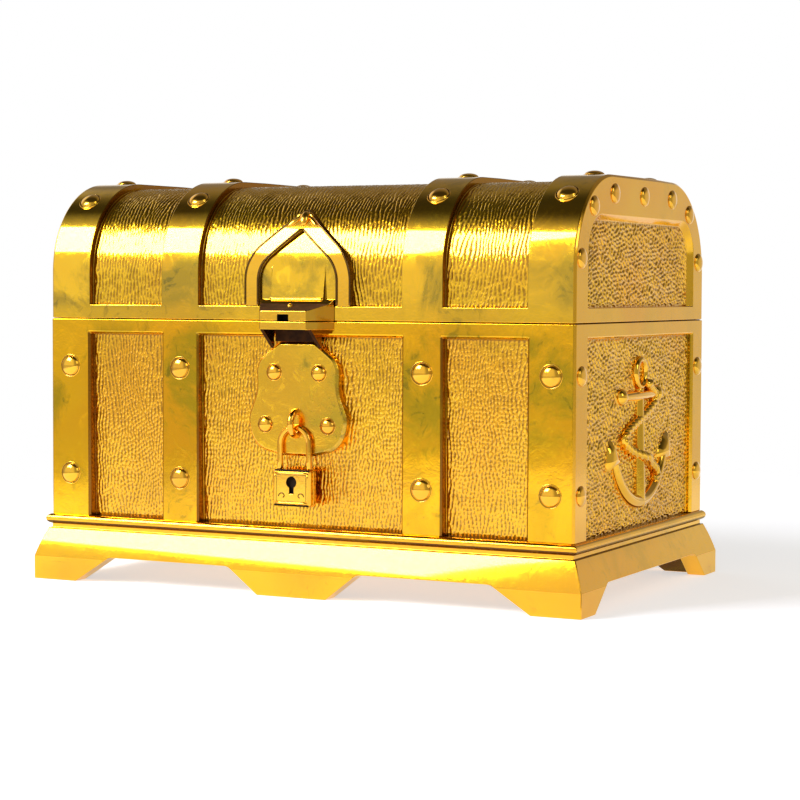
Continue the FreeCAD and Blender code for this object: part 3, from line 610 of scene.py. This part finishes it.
def clasp_material(middle, normal):
    """Picks the keeper hole's shade, dark brown as a painted dark reflection on the lip's top, the lid's gold in the
    recess and dark gold as painted shade on faces that do not look out."""
    in_keeper = between(middle.y - CLASP_FRONT, KEEPER_DEPTH) and between(middle.z - LID_FOOT, KEEPER_RISE)
    if in_keeper and abs(middle.x) < KEEPER_HALF:
        return 1
    if normal.z > 0.9 and middle.z < TONGUE_TOP - LIP_DROP:
        return 3
    sunk = middle.z > TONGUE_FOOT and lid_depth(middle) > -0.2
    if sunk and abs(middle.x) < RECESS_HALF and abs(normal.x) < 0.5:
        return 4
    rise = math.atan2(max(0, middle.z - SHOULDER_Z), -middle.y - SHOULDER_Y)
    return 2 if normal.z * math.sin(rise) - normal.y * math.cos(rise) < 0.45 else 0


def bracket_material(middle, normal):
    """Picks painted shade: dark brown underneath and dark gold on the gussets' sides, lighter on the outer ones."""
    if normal.z < -0.4:
        return 1
    if abs(normal.x) > 0.9:
        return 3 if middle.x * normal.x > 0 else 2
    return 0


def keyhole_material(middle, normal):
    """Picks the hole's shade inside the keyhole."""
    return abs(middle.x) < KEYHOLE_HALF and between(middle.y - CASE_FACE, KEYHOLE_DEPTH)


def flatter_skirt(point):
    """Draws the skirt's swell in towards a plain slope; a hair narrower, which the bevels fill again."""
    share = (point.z - SKIRT_FOOT) / (SKIRT_TOP - SKIRT_FOOT)
    place = [point.x * BEVEL_ROOM, point.y]
    if 0 < share < 1:
        for k, foot in enumerate((FOOT_X, FOOT_Y)):
            swell = abs(place[k]) - (foot - SKIRT_OUTSET * share)
            if swell > 0:
                place[k] -= math.copysign(SWELL_CUT * swell, place[k])
    return Vector((place[0], place[1], point.z))


def flush_tongue(point):
    """Lets the thumb ramp start flush with the recess around it."""
    at_top = abs(point.z - TONGUE_TOP) < 0.02 and abs(point.x) < TONGUE_HALF and point.y < TONGUE_TOP_Y
    return Vector((point.x, TONGUE_TOP_Y, point.z)) if at_top else point


dress("tub_shell", "tub_walls", "base", [plated, inner, wall_shade_gold, plated_end], 0.22,
      shell_material(in_tub))
dress("lid_shell", "lid_vault", "lid", [plated_lid, inner, wall_shade_gold, plated_end], 0.22,
      shell_material(in_lid))
dress("plinth_base", "plinth_moulding", "base", [plated_foot, crevice_shade], 0.25,
      plinth_material, flatter_skirt, SKIRT_CREASE)
dress("floor_panel", "floor_board", "base", [inner], 0.2)
dress("lid_clasp", "clasp_plate", "lid", [polished, hollow, crevice_shade, dark_shade, plated_lid], 0.14,
      clasp_material, flush_tongue)
dress("catch_bracket", "clasp_bracket", "base", [polished, dark_shade, crevice_shade, wall_shade_gold], 0.16,
      bracket_material)
dress("lock_plate", "escutcheon", "base", [satin, plated], 0.22,
      lambda middle, normal: normal.y > -0.5)
dress("padlock_case_front", "padlock_front", "padlock", [polished, hollow], 0.18,
      keyhole_material)
dress("padlock_case_back", "padlock_back", "padlock", [polished], 0.18)
for side in ("left", "right"):
    dress("hinge_tub_leaf_" + side, "hinge_leaf_low_" + side, "base", [pivot], 0.15)
    dress("hinge_lid_leaf_" + side, "hinge_leaf_high_" + side, "lid", [pivot], 0.15)
    dress("hinge_pin_" + side, "hinge_rod_" + side, "base", [pivot], 0.2)

# Moulded fields of the front, the back and the lid

TUB_GRAIN, LID_GRAIN, GRAIN_PITCH = 0.2, 0.26, 1.0
GRID_ACROSS, TUB_GRID_UP, LID_GRID_ALONG = 0.21, 0.36, 0.45
TUB_SWAY, LID_SWAY = (0.12, 44.0), (-0.1, 30.0)
field_slope = (FIELD_DEPTH_FOOT - FIELD_DEPTH_TOP) / (TUB_RAIL_FOOT - PLINTH_TOP)


def wall_place(side):
    """Points and outward directions of a sloping front (-1) or back (1) field."""
    def place(uu, vv):
        depth = TUB_Y - FIELD_DEPTH_FOOT + field_slope * (vv - PLINTH_TOP)
        base = np.stack([uu, side * depth, vv], -1)
        return base, np.broadcast_to(np.array([0.0, side, 0.0]), base.shape)
    return place


def arch_place(uu, vv):
    """Points and outward directions along the lid's sunk fields."""
    y, z, ny, nz, _ = lid_profile(vv, LID_FIELD_DEPTH)
    return np.stack([uu, y, z], -1), np.stack([uu * 0, ny, nz], -1)


def grain(x0, x1, seed, lean, centre, pitch, depth):
    """Grain that sways most a share, the lean, of the field's width beside its middle."""
    middle = (x0 + x1) / 2 + (x1 - x0) * lean

    def relief(uu, vv):
        rise = wood_relief(uu, vv, seed, middle, centre, pitch, depth)
        return bordered(rise, uu - x0, x1 - uu, vv - vv.min(), vv.max() - vv)
    return relief


def worn_shoulder(relief):
    """Relief that handling has worn down on the lid's shoulders."""
    def worn(uu, vv):
        reach = np.minimum(vv, vv.max() - vv) - (SHOULDER_Z - LID_RAIL_TOP)
        tilt = np.degrees(reach / (SHOULDER_R - LID_FIELD_DEPTH))
        return relief(uu, vv) * (1 - 0.7 * np.exp(-((tilt - 18) / 15) ** 4))
    return worn


arch_length = float(lid_profile(np.array(0.0), LID_FIELD_DEPTH)[4])
for number, (x0, x1) in enumerate(FIELD_SPANS, 1):
    across = steps(x0, x1, GRID_ACROSS)
    for name, side in (("front", -1), ("back", 1)):
        sheet_piece(f"tub_{name}_grain_{number}", "base", grained, across,
                    steps(PLINTH_TOP, TUB_RAIL_FOOT, TUB_GRID_UP),
                    grain(x0, x1, 20 * number + side, *TUB_SWAY, GRAIN_PITCH, TUB_GRAIN), wall_place(side))
    lid_grain = grain(x0, x1, 200 + 20 * number, *LID_SWAY, GRAIN_PITCH, LID_GRAIN)
    sheet_piece(f"lid_grain_{number}", "lid", grained_lid, across,
                steps(0.0, arch_length, LID_GRID_ALONG), worn_shoulder(lid_grain), arch_place)


# Stippled fields of the ends

STIPPLE, STIPPLE_STEP = 0.36, 0.25
TUB_STIPPLE_PITCH, TUB_STIPPLE_ROWS = 1.1, 200
LID_STIPPLE_PITCH, LID_STIPPLE_ROWS = 1.15, 92


def end_place(side, x, height):
    """Points and outward directions on an end; v runs from the field's foot to its edge at each depth."""
    def place(uu, vv):
        foot, top = height(uu)
        base = np.stack([uu * 0 + side * x, uu, foot + vv * (top - foot)], -1)
        return base, np.broadcast_to(np.array([side, 0.0, 0.0]), base.shape)
    return place


def lid_end_height(uu):
    """Foot and round-cornered top of the lid's end field."""
    reach = np.clip(np.abs(uu) - (LID_END_Y - LID_END_CORNER), 0, LID_END_CORNER)
    return LID_RAIL_TOP, LID_END_TOP - LID_END_CORNER + np.sqrt(LID_END_CORNER ** 2 - reach ** 2)


def tub_end_height(uu):
    """Foot and top of the tub's end field."""
    return PLINTH_TOP, TUB_RAIL_FOOT


def stipple(half, tall, seed, pitch):
    """Stipple of a field from its half depth and its full height."""
    def relief(uu, vv):
        rise = pebble_relief(uu, vv * tall, seed, pitch, STIPPLE)
        return bordered(rise, half - abs(uu), vv * tall, (1 - vv) * tall)
    return relief


for name, side in (("left", -1), ("right", 1)):
    sheet_piece("tub_stipple_" + name, "base", stippled,
                steps(-SIDE_FIELD_Y, SIDE_FIELD_Y, STIPPLE_STEP), np.linspace(0, 1, TUB_STIPPLE_ROWS),
                stipple(SIDE_FIELD_Y, TUB_RAIL_FOOT - PLINTH_TOP, 50 + side, TUB_STIPPLE_PITCH),
                end_place(side, SIDE_FIELD_X, tub_end_height))
    sheet_piece("lid_stipple_" + name, "lid", stippled,
                steps(-LID_END_Y, LID_END_Y, STIPPLE_STEP), np.linspace(0, 1, LID_STIPPLE_ROWS),
                stipple(LID_END_Y, LID_END_TOP - LID_RAIL_TOP, 50 + side, LID_STIPPLE_PITCH),
                end_place(side, LID_END_X, lid_end_height))

# Thin dark bar at the seam under the lid's edge: painted shade of the gap

LIP_INSET, LIP_BAR = 0.75, 0.3
lip = [(x * (TUB_X - LIP_INSET), y * (TUB_Y - LIP_INSET), SEAM) for x, y in ((-1, -1), (1, -1), (1, 1), (-1, 1))]
lip = tube(lip, LIP_BAR, 12, True, (Vector((0, 0, 1)), 0.6))
add_piece(mesh_from("seam_shade_bar", *lip), "seam_shade_bar", "base", [dark_shade])

# Studs

for node, name, body in (
    ("tub_front_rivets", "tub_front_studs", "base"), ("tub_back_rivets", "tub_back_studs", "base"),
    ("tub_left_rivets", "tub_left_studs", "base"), ("tub_right_rivets", "tub_right_studs", "base"),
    ("lock_plate_rivets", "escutcheon_studs", "base"), ("lid_front_rivets", "lid_front_studs", "lid"),
    ("lid_top_rivets", "lid_top_studs", "lid"), ("lid_back_rivets", "lid_back_studs", "lid"),
    ("lid_left_rivets", "lid_left_studs", "lid"), ("lid_right_rivets", "lid_right_studs", "lid"),
):
    stud_piece(node, name, body, [polished, crevice_shade])

# Staple and shackle

plate_face = -node_box("lock_plate")[0].y
staple_low, staple_high = node_box("lock_staple")
shackle_low, shackle_high = node_box("padlock_shackle")
case_top = node_box("padlock_case_back")[1].z
staple_z = (staple_low.z + staple_high.z) / 2
shackle_y = (shackle_low.y + shackle_high.y) / 2
STAPLE_RADIUS, STAPLE_WIRE = 3.1, 0.9
SHACKLE_RADIUS, SHACKLE_WIRE, SHACKLE_TOE = 4.3, 0.75, 2.6
eye = [
    (0, -plate_face - STAPLE_RADIUS * math.cos(a), staple_z + STAPLE_RADIUS * math.sin(a))
    for a in np.linspace(-math.pi / 2, math.pi / 2, 25)
]
add_piece(mesh_from("staple_eye", *tube(eye, STAPLE_WIRE)), "staple_eye", "base", [polished],
          ["lock_staple"])
bend_z = shackle_high.z - SHACKLE_WIRE - SHACKLE_RADIUS
leg_top = case_top + 2
bow = [(-SHACKLE_RADIUS, shackle_y, shackle_low.z + 0.05), (-SHACKLE_RADIUS, shackle_y, leg_top)]
bow += [
    (-SHACKLE_RADIUS * math.cos(a), shackle_y, bend_z + SHACKLE_RADIUS * math.sin(a))
    for a in np.linspace(0, math.pi, 33)
]
bow += [(SHACKLE_RADIUS, shackle_y, leg_top), (SHACKLE_RADIUS, shackle_y, case_top - SHACKLE_TOE)]
add_piece(mesh_from("shackle_bow", *tube(bow, SHACKLE_WIRE)), "shackle_bow", "shackle", [polished],
          ["padlock_shackle"])


# Anchor reliefs on the ends

# A fluke's outline, in shares of its size
FLUKE_SHARES = (
    (0.30, 0.62), (0.46, 0.30), (0.53, 0.0), (0.52, -0.30), (0.2, -0.22), (-0.2, -0.16), (-0.55, -0.12),
    (-0.25, 0.16), (0.02, 0.40),
)
FLUKE_SIZE, RING, RING_BAR, ROPE_BAR, BUTTON = 9.5, 3.6, 0.9, 1.15, (2.3, 2.2)
SHANK_STEPS, SHANK_FOOT, SHANK_TAPER = 22, 2.0, 0.7


def anchor_parts(side):
    """Ring, stock, shank, arms, flukes and a rope as rounded castings on the end field."""
    low, high = node_box("side_relief_right")
    foot, height = low.z, high.z - low.z
    ring_z = high.z - RING - RING_BAR
    stock_z, stock_half = foot + 0.74 * height, 0.33 * height
    arm, arm_z = height / 2, foot + height / 2 + 1.6
    out = Vector((1, 0, 0))

    def spot(y, z, rise=0.0):
        return (side * (SIDE_FIELD_X + rise), y, z)
    shank = np.linspace(foot + 0.4, ring_z - RING + 0.3, SHANK_STEPS)
    radii = [SHANK_FOOT - SHANK_TAPER * k / (SHANK_STEPS - 1) for k in range(SHANK_STEPS)]
    parts = [tube([spot(0, z) for z in shank], radii, 18, squash=(out, 1.2))]
    turn = np.linspace(0, 2 * math.pi, 40, endpoint=False)
    parts.append(tube([spot(RING * math.sin(a), ring_z - RING * math.cos(a), 0.3) for a in turn],
                      RING_BAR, 14, True, (out, 1.5)))
    stock = np.linspace(-stock_half, stock_half, 25)
    parts.append(tube([spot(y, stock_z, 0.2) for y in stock],
                      [1.0 + 0.45 * (1 - (y / stock_half) ** 2) for y in stock], 16, squash=(out, 1.3)))
    for y in (-stock_half, stock_half):
        parts.append(lathe(dome_profile(*BUTTON), spot(y, stock_z), (side, 0, 0), 20))
    sweep = np.radians(np.linspace(-66, 66, 45))
    parts.append(tube([spot(arm * math.sin(a), arm_z - arm * math.cos(a)) for a in sweep],
                      [2.0 - 0.6 * abs(a) / sweep[-1] for a in sweep], 16, squash=(out, 1.2)))
    count = len(FLUKE_SHARES)
    fluke_faces = rings_faces(3, count)
    fluke_faces += [(2 * count + k, 2 * count + (k + 1) % count, 3 * count) for k in range(count)]
    for hand in (-1, 1):
        tip_y, tip_z = hand * arm * math.sin(sweep[-1]), arm_z - arm * math.cos(sweep[-1])

        def fluke_spot(a, b, rise):
            return spot(tip_y + hand * FLUKE_SIZE * a, tip_z + FLUKE_SIZE * b, rise)
        fluke = [
            fluke_spot(share * a + push, share * b + push / 3, rise)
            for share, push, rise in ((1.0, 0.0, -0.1), (0.88, 0.02, 0.9), (0.55, 0.07, 1.7))
            for a, b in FLUKE_SHARES
        ]
        parts.append((fluke + [fluke_spot(0.14, 0.05, 2.1)], fluke_faces))
    rope = []
    for t in np.linspace(0, 1, 260):
        phase = 2 * math.pi * (1.3 * t + 0.04)
        width = 10.5 + 2.5 * t
        rise = 0.8 + 2.1 * max(0.0, math.cos(phase)) * math.exp(-(math.sin(phase) * 2.6) ** 2)
        rope.append(spot(width * math.sin(phase), ring_z - 2.6 - t * (ring_z - foot - 9.0), rise))
    parts.append(tube(rope, ROPE_BAR, 18, strands=(3, 6.6, 0.18)))
    return joined(parts)


for name, side in (("left", -1), ("right", 1)):
    mesh = face_outwards(mesh_from("anchor_" + name, *anchor_parts(side)))
    add_piece(mesh, "anchor_" + name, "base", [polished], ["side_relief_" + name])


# Small trim

def on_clasp(x, angle):
    """Point and outward direction on the clasp plate's curved face, at an angle above the level."""
    turn = math.radians(angle)
    out = Vector((0, -math.cos(turn), math.sin(turn)))
    return Vector((x, -SHOULDER_Y, SHOULDER_Z)) + out * (SHOULDER_R + 0.25), out


def spindle(start, end, radius):
    """Bud that swells from a point to its middle and narrows to the other point."""
    start, end = Vector(start), Vector(end)
    along = np.linspace(-0.98, 0.98, 15)
    return tube([start.lerp(end, (t + 1) / 2) for t in along], [radius * math.sqrt(1 - t * t) for t in along], 16)


# The peak is an angle above the level, in degrees
PEAK = 33.0
PLATE_HALF, PLATE_LEG, PLATE_CENTRE, PLATE_TURN = 15.55, 6.45, 3.0, math.radians(50.2)
OUTLINE_BAR, OUTLINE_SKIN = 0.32, 0.25
RECESS_OUTLINE_HALF, RECESS_OUTLINE_SKIN = 11.75, 0.32
finial = [spindle(on_clasp(0, PEAK - 5.0)[0], on_clasp(0, PEAK + 6.0)[0], 1.35)]
for hand in (-1, 1):
    finial.append(spindle(on_clasp(hand * 1.0, PEAK + 2.5)[0], on_clasp(hand * 4.4, PEAK - 5.5)[0], 0.75))
    finial.append(spindle(on_clasp(hand * 0.6, PEAK + 5.0)[0], on_clasp(hand * 2.6, PEAK + 1.0)[0], 0.6))
add_piece(mesh_from("clasp_finial", *joined(finial)), "clasp_finial", "lid", [polished])


def clasp_outline(reach, skin):
    """Points along one half of the plate's pointed arch, from its foot to its peak, and their mirror image.
    reach is the half width at the foot; skin is the height above the lid's straps."""
    radius, leg_top = reach - PLATE_CENTRE, LID_RAIL_TOP + PLATE_LEG
    flat = [(reach, LID_RAIL_TOP + PLATE_LEG * t) for t in np.linspace(0.05, 0.95, 8)]
    flat += [
        (PLATE_CENTRE + radius * math.cos(a), leg_top + radius * math.sin(a)) for a in np.linspace(0, PLATE_TURN, 16)
    ]
    x0, z0 = flat[-1]
    flat += [(x0 * (1 - t), z0 + x0 * t / math.tan(PLATE_TURN)) for t in np.linspace(0.1, 0.97, 12)]
    points = []
    for x, z in flat:
        rise = math.asin(max(0, z - SHOULDER_Z) / (SHOULDER_R + skin))
        points.append((x, -SHOULDER_Y - (SHOULDER_R + skin) * math.cos(rise), z))
    return points, [(-x, y, z) for x, y, z in points]


# Dark bars of painted shade along the plate's outer outline and its recess outline.
shade_lines = [
    tube(run, OUTLINE_BAR, 12)
    for reach, skin in ((PLATE_HALF, OUTLINE_SKIN), (RECESS_OUTLINE_HALF, RECESS_OUTLINE_SKIN))
    for run in clasp_outline(reach, skin)
]
add_piece(mesh_from("clasp_shade_lines", *joined(shade_lines)), "clasp_shade_lines", "lid", [crevice_shade])

BROW_HALF, BROW_BAR, BROW_OUT = 7.7, 0.5, 0.35
NIB_RADIUS, NIB_HEIGHT, NIB_OUT, NIB_DROP = 0.75, 0.7, 3.9, 1.75
brow = [(x, -LID_Y - BROW_OUT, TONGUE_FOOT) for x in np.linspace(-BROW_HALF, BROW_HALF, 30)]
nib = lathe(dome_profile(NIB_RADIUS, NIB_HEIGHT), (0, -LID_Y - NIB_OUT, TONGUE_FOOT - NIB_DROP), (0, -0.28, 0.96), 16)
brow_parts = joined([tube(brow, BROW_BAR, 16), nib])
add_piece(mesh_from("clasp_brow", *brow_parts), "clasp_brow", "lid", [polished])


# Dark sheet of painted shade on the wall behind the catch

def pocket_place(uu, vv):
    """Points and outward directions on the tub's front."""
    base = np.stack([uu, uu * 0 - TUB_Y, vv], -1)
    return base, np.broadcast_to(np.array([0.0, -1.0, 0.0]), base.shape)


POCKET_HALF = 6.5
plate_top = node_box("lock_plate")[1].z
catch_foot = TUB_RAIL_FOOT + 1.8
pocket_x, pocket_z = np.linspace(-POCKET_HALF, POCKET_HALF, 9), np.linspace(plate_top, catch_foot, 5)
sheet_piece("catch_shade_sheet", "base", dark_shade, pocket_x, pocket_z,
            lambda uu, vv: 0.02 + 0.03 * np.cos(uu) ** 2, pocket_place)

# Raised edge of the padlock's face, with a dark frame line and dark curls of painted shade inside it

EDGE_INSET, EDGE_BAR, LINE_SHARE, LINE_BAR = 0.9, 0.3, 0.9, 0.15
CURL_X, CURL_RISE, CURL_REACH, CURL_TURN, CURL_BAR = 2.6, 1.7, 1.2, 5.2, 0.2
case_low, case_high = node_box("padlock_case_front")
case_half = case_high.x - EDGE_INSET
frame_z = (case_low.z + EDGE_INSET, case_high.z - EDGE_INSET)
middle_z = sum(frame_z) / 2
border = [(-case_half, frame_z[0]), (case_half, frame_z[0]), (case_half, frame_z[1]), (-case_half, frame_z[1])]
edging, scrolls = [], []
for (x0, z0), (x1, z1) in zip(border, border[1:] + border[:1]):
    run = [(x0 + (x1 - x0) * t, CASE_FACE + 0.12, z0 + (z1 - z0) * t) for t in np.linspace(0, 1, 8)]
    edging.append(tube(run, EDGE_BAR, 10))
    shrunk = [(LINE_SHARE * x, y, LINE_SHARE * z + (1 - LINE_SHARE) * middle_z) for x, y, z in run]
    scrolls.append(tube(shrunk, LINE_BAR, 8))
for hand in (-1, 1):
    curl = []
    for t in np.linspace(0, 0.85, 24):
        reach = CURL_REACH * (1 - t)
        x, z = CURL_X + reach * math.cos(CURL_TURN * t), CURL_RISE + reach * math.sin(CURL_TURN * t)
        curl.append((hand * x, CASE_FACE + 0.1, frame_z[0] + z))
    scrolls.append(tube(curl, CURL_BAR, 10))
add_piece(mesh_from("padlock_scrolls", *joined(scrolls)), "padlock_scrolls", "padlock", [crevice_shade])
add_piece(mesh_from("padlock_edging", *joined(edging)), "padlock_edging", "padlock", [polished])

# Screws of the hinges

SCREW_INSET, SCREW_SPACING, SCREW_RADIUS, SCREW_HEIGHT, LEAF = 2.6, 3.2, 1.0, 0.5, 1.0
for part, body in (("tub", "base"), ("lid", "lid")):
    screws = []
    for side in ("left", "right"):
        low, high = node_box(f"hinge_{part}_leaf_{side}")
        z = low.z + SCREW_INSET if part == "tub" else high.z - SCREW_INSET
        for shift in (-SCREW_SPACING, SCREW_SPACING):
            centre = ((low.x + high.x) / 2 + shift, TUB_Y + LEAF, z)
            screws.append(lathe(dome_profile(SCREW_RADIUS, SCREW_HEIGHT), centre, (0, 1, 0), 18))
    name = f"hinge_screws_{part}"
    add_piece(mesh_from(name, *joined(screws)), name, body, [pivot])

# Camera, at the photograph's angle

VIEW_TURN, VIEW_RISE, VIEW_ROLL = math.radians(26.612), math.radians(2.942), math.radians(0.231)
FOCAL_PIXELS, PHOTO_PIXELS, SENSOR = 2166.96, 800, 36
VIEW_POINT = (277.0, -540.9, 80.6)
back = Vector((
    math.sin(VIEW_TURN) * math.cos(VIEW_RISE), -math.cos(VIEW_TURN) * math.cos(VIEW_RISE), math.sin(VIEW_RISE)
))
right = Vector((math.cos(VIEW_TURN), math.sin(VIEW_TURN), 0))
up = back.cross(right)
rolled_right = right * math.cos(VIEW_ROLL) + up * math.sin(VIEW_ROLL)
rolled_up = up * math.cos(VIEW_ROLL) - right * math.sin(VIEW_ROLL)
camera = bpy.data.objects.new("camera", bpy.data.cameras.new("camera"))
scene.collection.objects.link(camera)
camera.data.sensor_width = SENSOR
camera.data.lens = FOCAL_PIXELS / PHOTO_PIXELS * SENSOR
camera.data.clip_start = 0.01
camera.data.clip_end = 50
place = Matrix((rolled_right, rolled_up, back)).transposed().to_4x4()
place.translation = Vector(in_frame(VIEW_POINT))
camera.matrix_world = place
scene.camera = camera

# Floor: a white sheet that fades into the white backdrop

FLOOR_HALF, FADE_MIDDLE, FADE_SPAN = 1.2, (0.15, -0.08, 0.0), (0.34, 0.52)
PAPER, PAPER_GLOW, WHITE = (0.72, 0.72, 0.72, 1), 0.58, (1, 1, 1, 1)
floor_mesh = bpy.data.meshes.new("floor")
corners = [(x * FLOOR_HALF, y * FLOOR_HALF, 0) for x, y in ((-1, -1), (1, -1), (1, 1), (-1, 1))]
floor_mesh.from_pydata(corners, [], [(0, 1, 2, 3)])
floor = bpy.data.objects.new("floor", floor_mesh)
scene.collection.objects.link(floor)
paper = bpy.data.materials.new("paper")
paper.use_nodes = True
tree = paper.node_tree
tree.nodes.remove(tree.nodes["Principled BSDF"])
where = tree.nodes.new("ShaderNodeTexCoord").outputs["Object"]
from_middle = add_node(tree, "ShaderNodeVectorMath", {"operation": "DISTANCE"}, _0=where, _1=FADE_MIDDLE)
fade = ramp_out(tree, from_middle.outputs["Value"], *FADE_SPAN)
rays = tree.nodes.new("ShaderNodeLightPath")
seen = sum_out(tree, rays.outputs["Is Camera Ray"], rays.outputs["Is Glossy Ray"], "MAXIMUM")
seen = sum_out(tree, seen, rays.outputs["Is Transmission Ray"], "MAXIMUM")
diffuse = add_node(tree, "ShaderNodeBsdfDiffuse", Color=PAPER)
glow = add_node(tree, "ShaderNodeEmission", Color=WHITE, Strength=sum_out(tree, seen, PAPER_GLOW, "MULTIPLY"))
solid = add_node(tree, "ShaderNodeAddShader", _0=diffuse.outputs[0], _1=glow.outputs[0])
clear = tree.nodes.new("ShaderNodeBsdfTransparent")
faded = add_node(tree, "ShaderNodeMixShader", _0=fade, _1=solid.outputs[0], _2=clear.outputs[0])
tree.links.new(faded.outputs[0], tree.nodes["Material Output"].inputs["Surface"])
floor_mesh.materials.append(paper)

# Studio: a white backdrop to the back left, pale cards to the front left and back right, another high on
# the left, a dark ceiling and grey elsewhere. The front card is dimmer below the horizon.

world = bpy.data.worlds.new("studio")
scene.world = world
world.use_nodes = True
tree = world.node_tree
where = tree.nodes.new("ShaderNodeTexCoord").outputs["Generated"]
split = add_node(tree, "ShaderNodeSeparateXYZ", Vector=where)
level = add_node(tree, "ShaderNodeCombineXYZ", X=split.outputs["X"], Y=split.outputs["Y"])
level = add_node(tree, "ShaderNodeVectorMath", {"operation": "NORMALIZE"}, _0=level.outputs[0]).outputs[0]
GREY, CARD_GREY = (0.45, 0.44, 0.415, 1), (0.7, 0.68, 0.65, 1)
FRONT_LOW, FRONT_HIGH, SIDE_CARD = (0.69, 0.67, 0.63, 1), (0.97, 0.95, 0.91, 1), (0.9, 0.88, 0.84, 1)
CEILING_FRONT, CEILING_BACK = (0.045, 0.042, 0.038, 1), (0.24, 0.22, 0.19, 1)
sky = GREY
front_card = mixed(tree, ramp_out(tree, split.outputs["Z"], -0.03, 0.01), FRONT_LOW, FRONT_HIGH)
for toward, low, high, colour in (
    ((-0.485, -0.875, 0.0), 0.62, 0.93, front_card),
    ((0.445, 0.895, 0.0), 0.62, 0.93, CARD_GREY),
    ((-0.445, 0.895, 0.0), 0.66, 0.94, WHITE),
):
    facing = add_node(tree, "ShaderNodeVectorMath", {"operation": "DOT_PRODUCT"}, _0=level, _1=toward)
    sky = mixed(tree, ramp_out(tree, facing.outputs["Value"], low, high), sky, colour)
behind = ramp_out(tree, split.outputs["Y"], -0.2, 0.4, 0.0, 0.5)
overhead = ramp_out(tree, sum_out(tree, split.outputs["Z"], behind), 0.64, 0.9)
ceiling = mixed(tree, ramp_out(tree, split.outputs["Y"], 0.05, 0.6), CEILING_FRONT, CEILING_BACK)
sky = mixed(tree, overhead, sky, ceiling)
side_card = add_node(tree, "ShaderNodeVectorMath", {"operation": "DOT_PRODUCT"}, _0=where, _1=(-0.84, 0.34, 0.42))
sky = mixed(tree, ramp_out(tree, side_card.outputs["Value"], 0.9, 0.97), sky, SIDE_CARD)
tree.links.new(sky, tree.nodes["Background"].inputs["Color"])
tree.nodes["Background"].inputs["Strength"].default_value = 1.0

LAMP_COLOUR, LAMP_TARGET = (0.95, 0.98, 1.12), 0.07


def softbox(name, turn, rise, distance, width, height, radiance):
    """Area lamp that faces the chest; turn is from the front to the left, in degrees, and sizes are in metres."""
    turn, rise = math.radians(turn), math.radians(rise)
    toward = Vector((-math.sin(turn) * math.cos(rise), -math.cos(turn) * math.cos(rise), math.sin(rise)))
    lamp = bpy.data.lights.new(name, "AREA")
    lamp.shape = "RECTANGLE"
    lamp.color = LAMP_COLOUR
    lamp.size, lamp.size_y = width, height
    lamp.energy = radiance * math.pi * width * height
    obj = bpy.data.objects.new(name, lamp)
    scene.collection.objects.link(obj)
    obj.location = Vector((0, SHIFT * MM, LAMP_TARGET)) + toward * distance
    obj.rotation_mode = "QUATERNION"
    obj.rotation_quaternion = toward.to_track_quat("Z", "Y")
    return obj


softbox("key", 38.8, 33, 1.0, 0.47, 0.43, 15.5)
softbox("rim", -70, 30, 1.0, 0.22, 0.42, 3.0)

scene.view_settings.view_transform = "Standard"
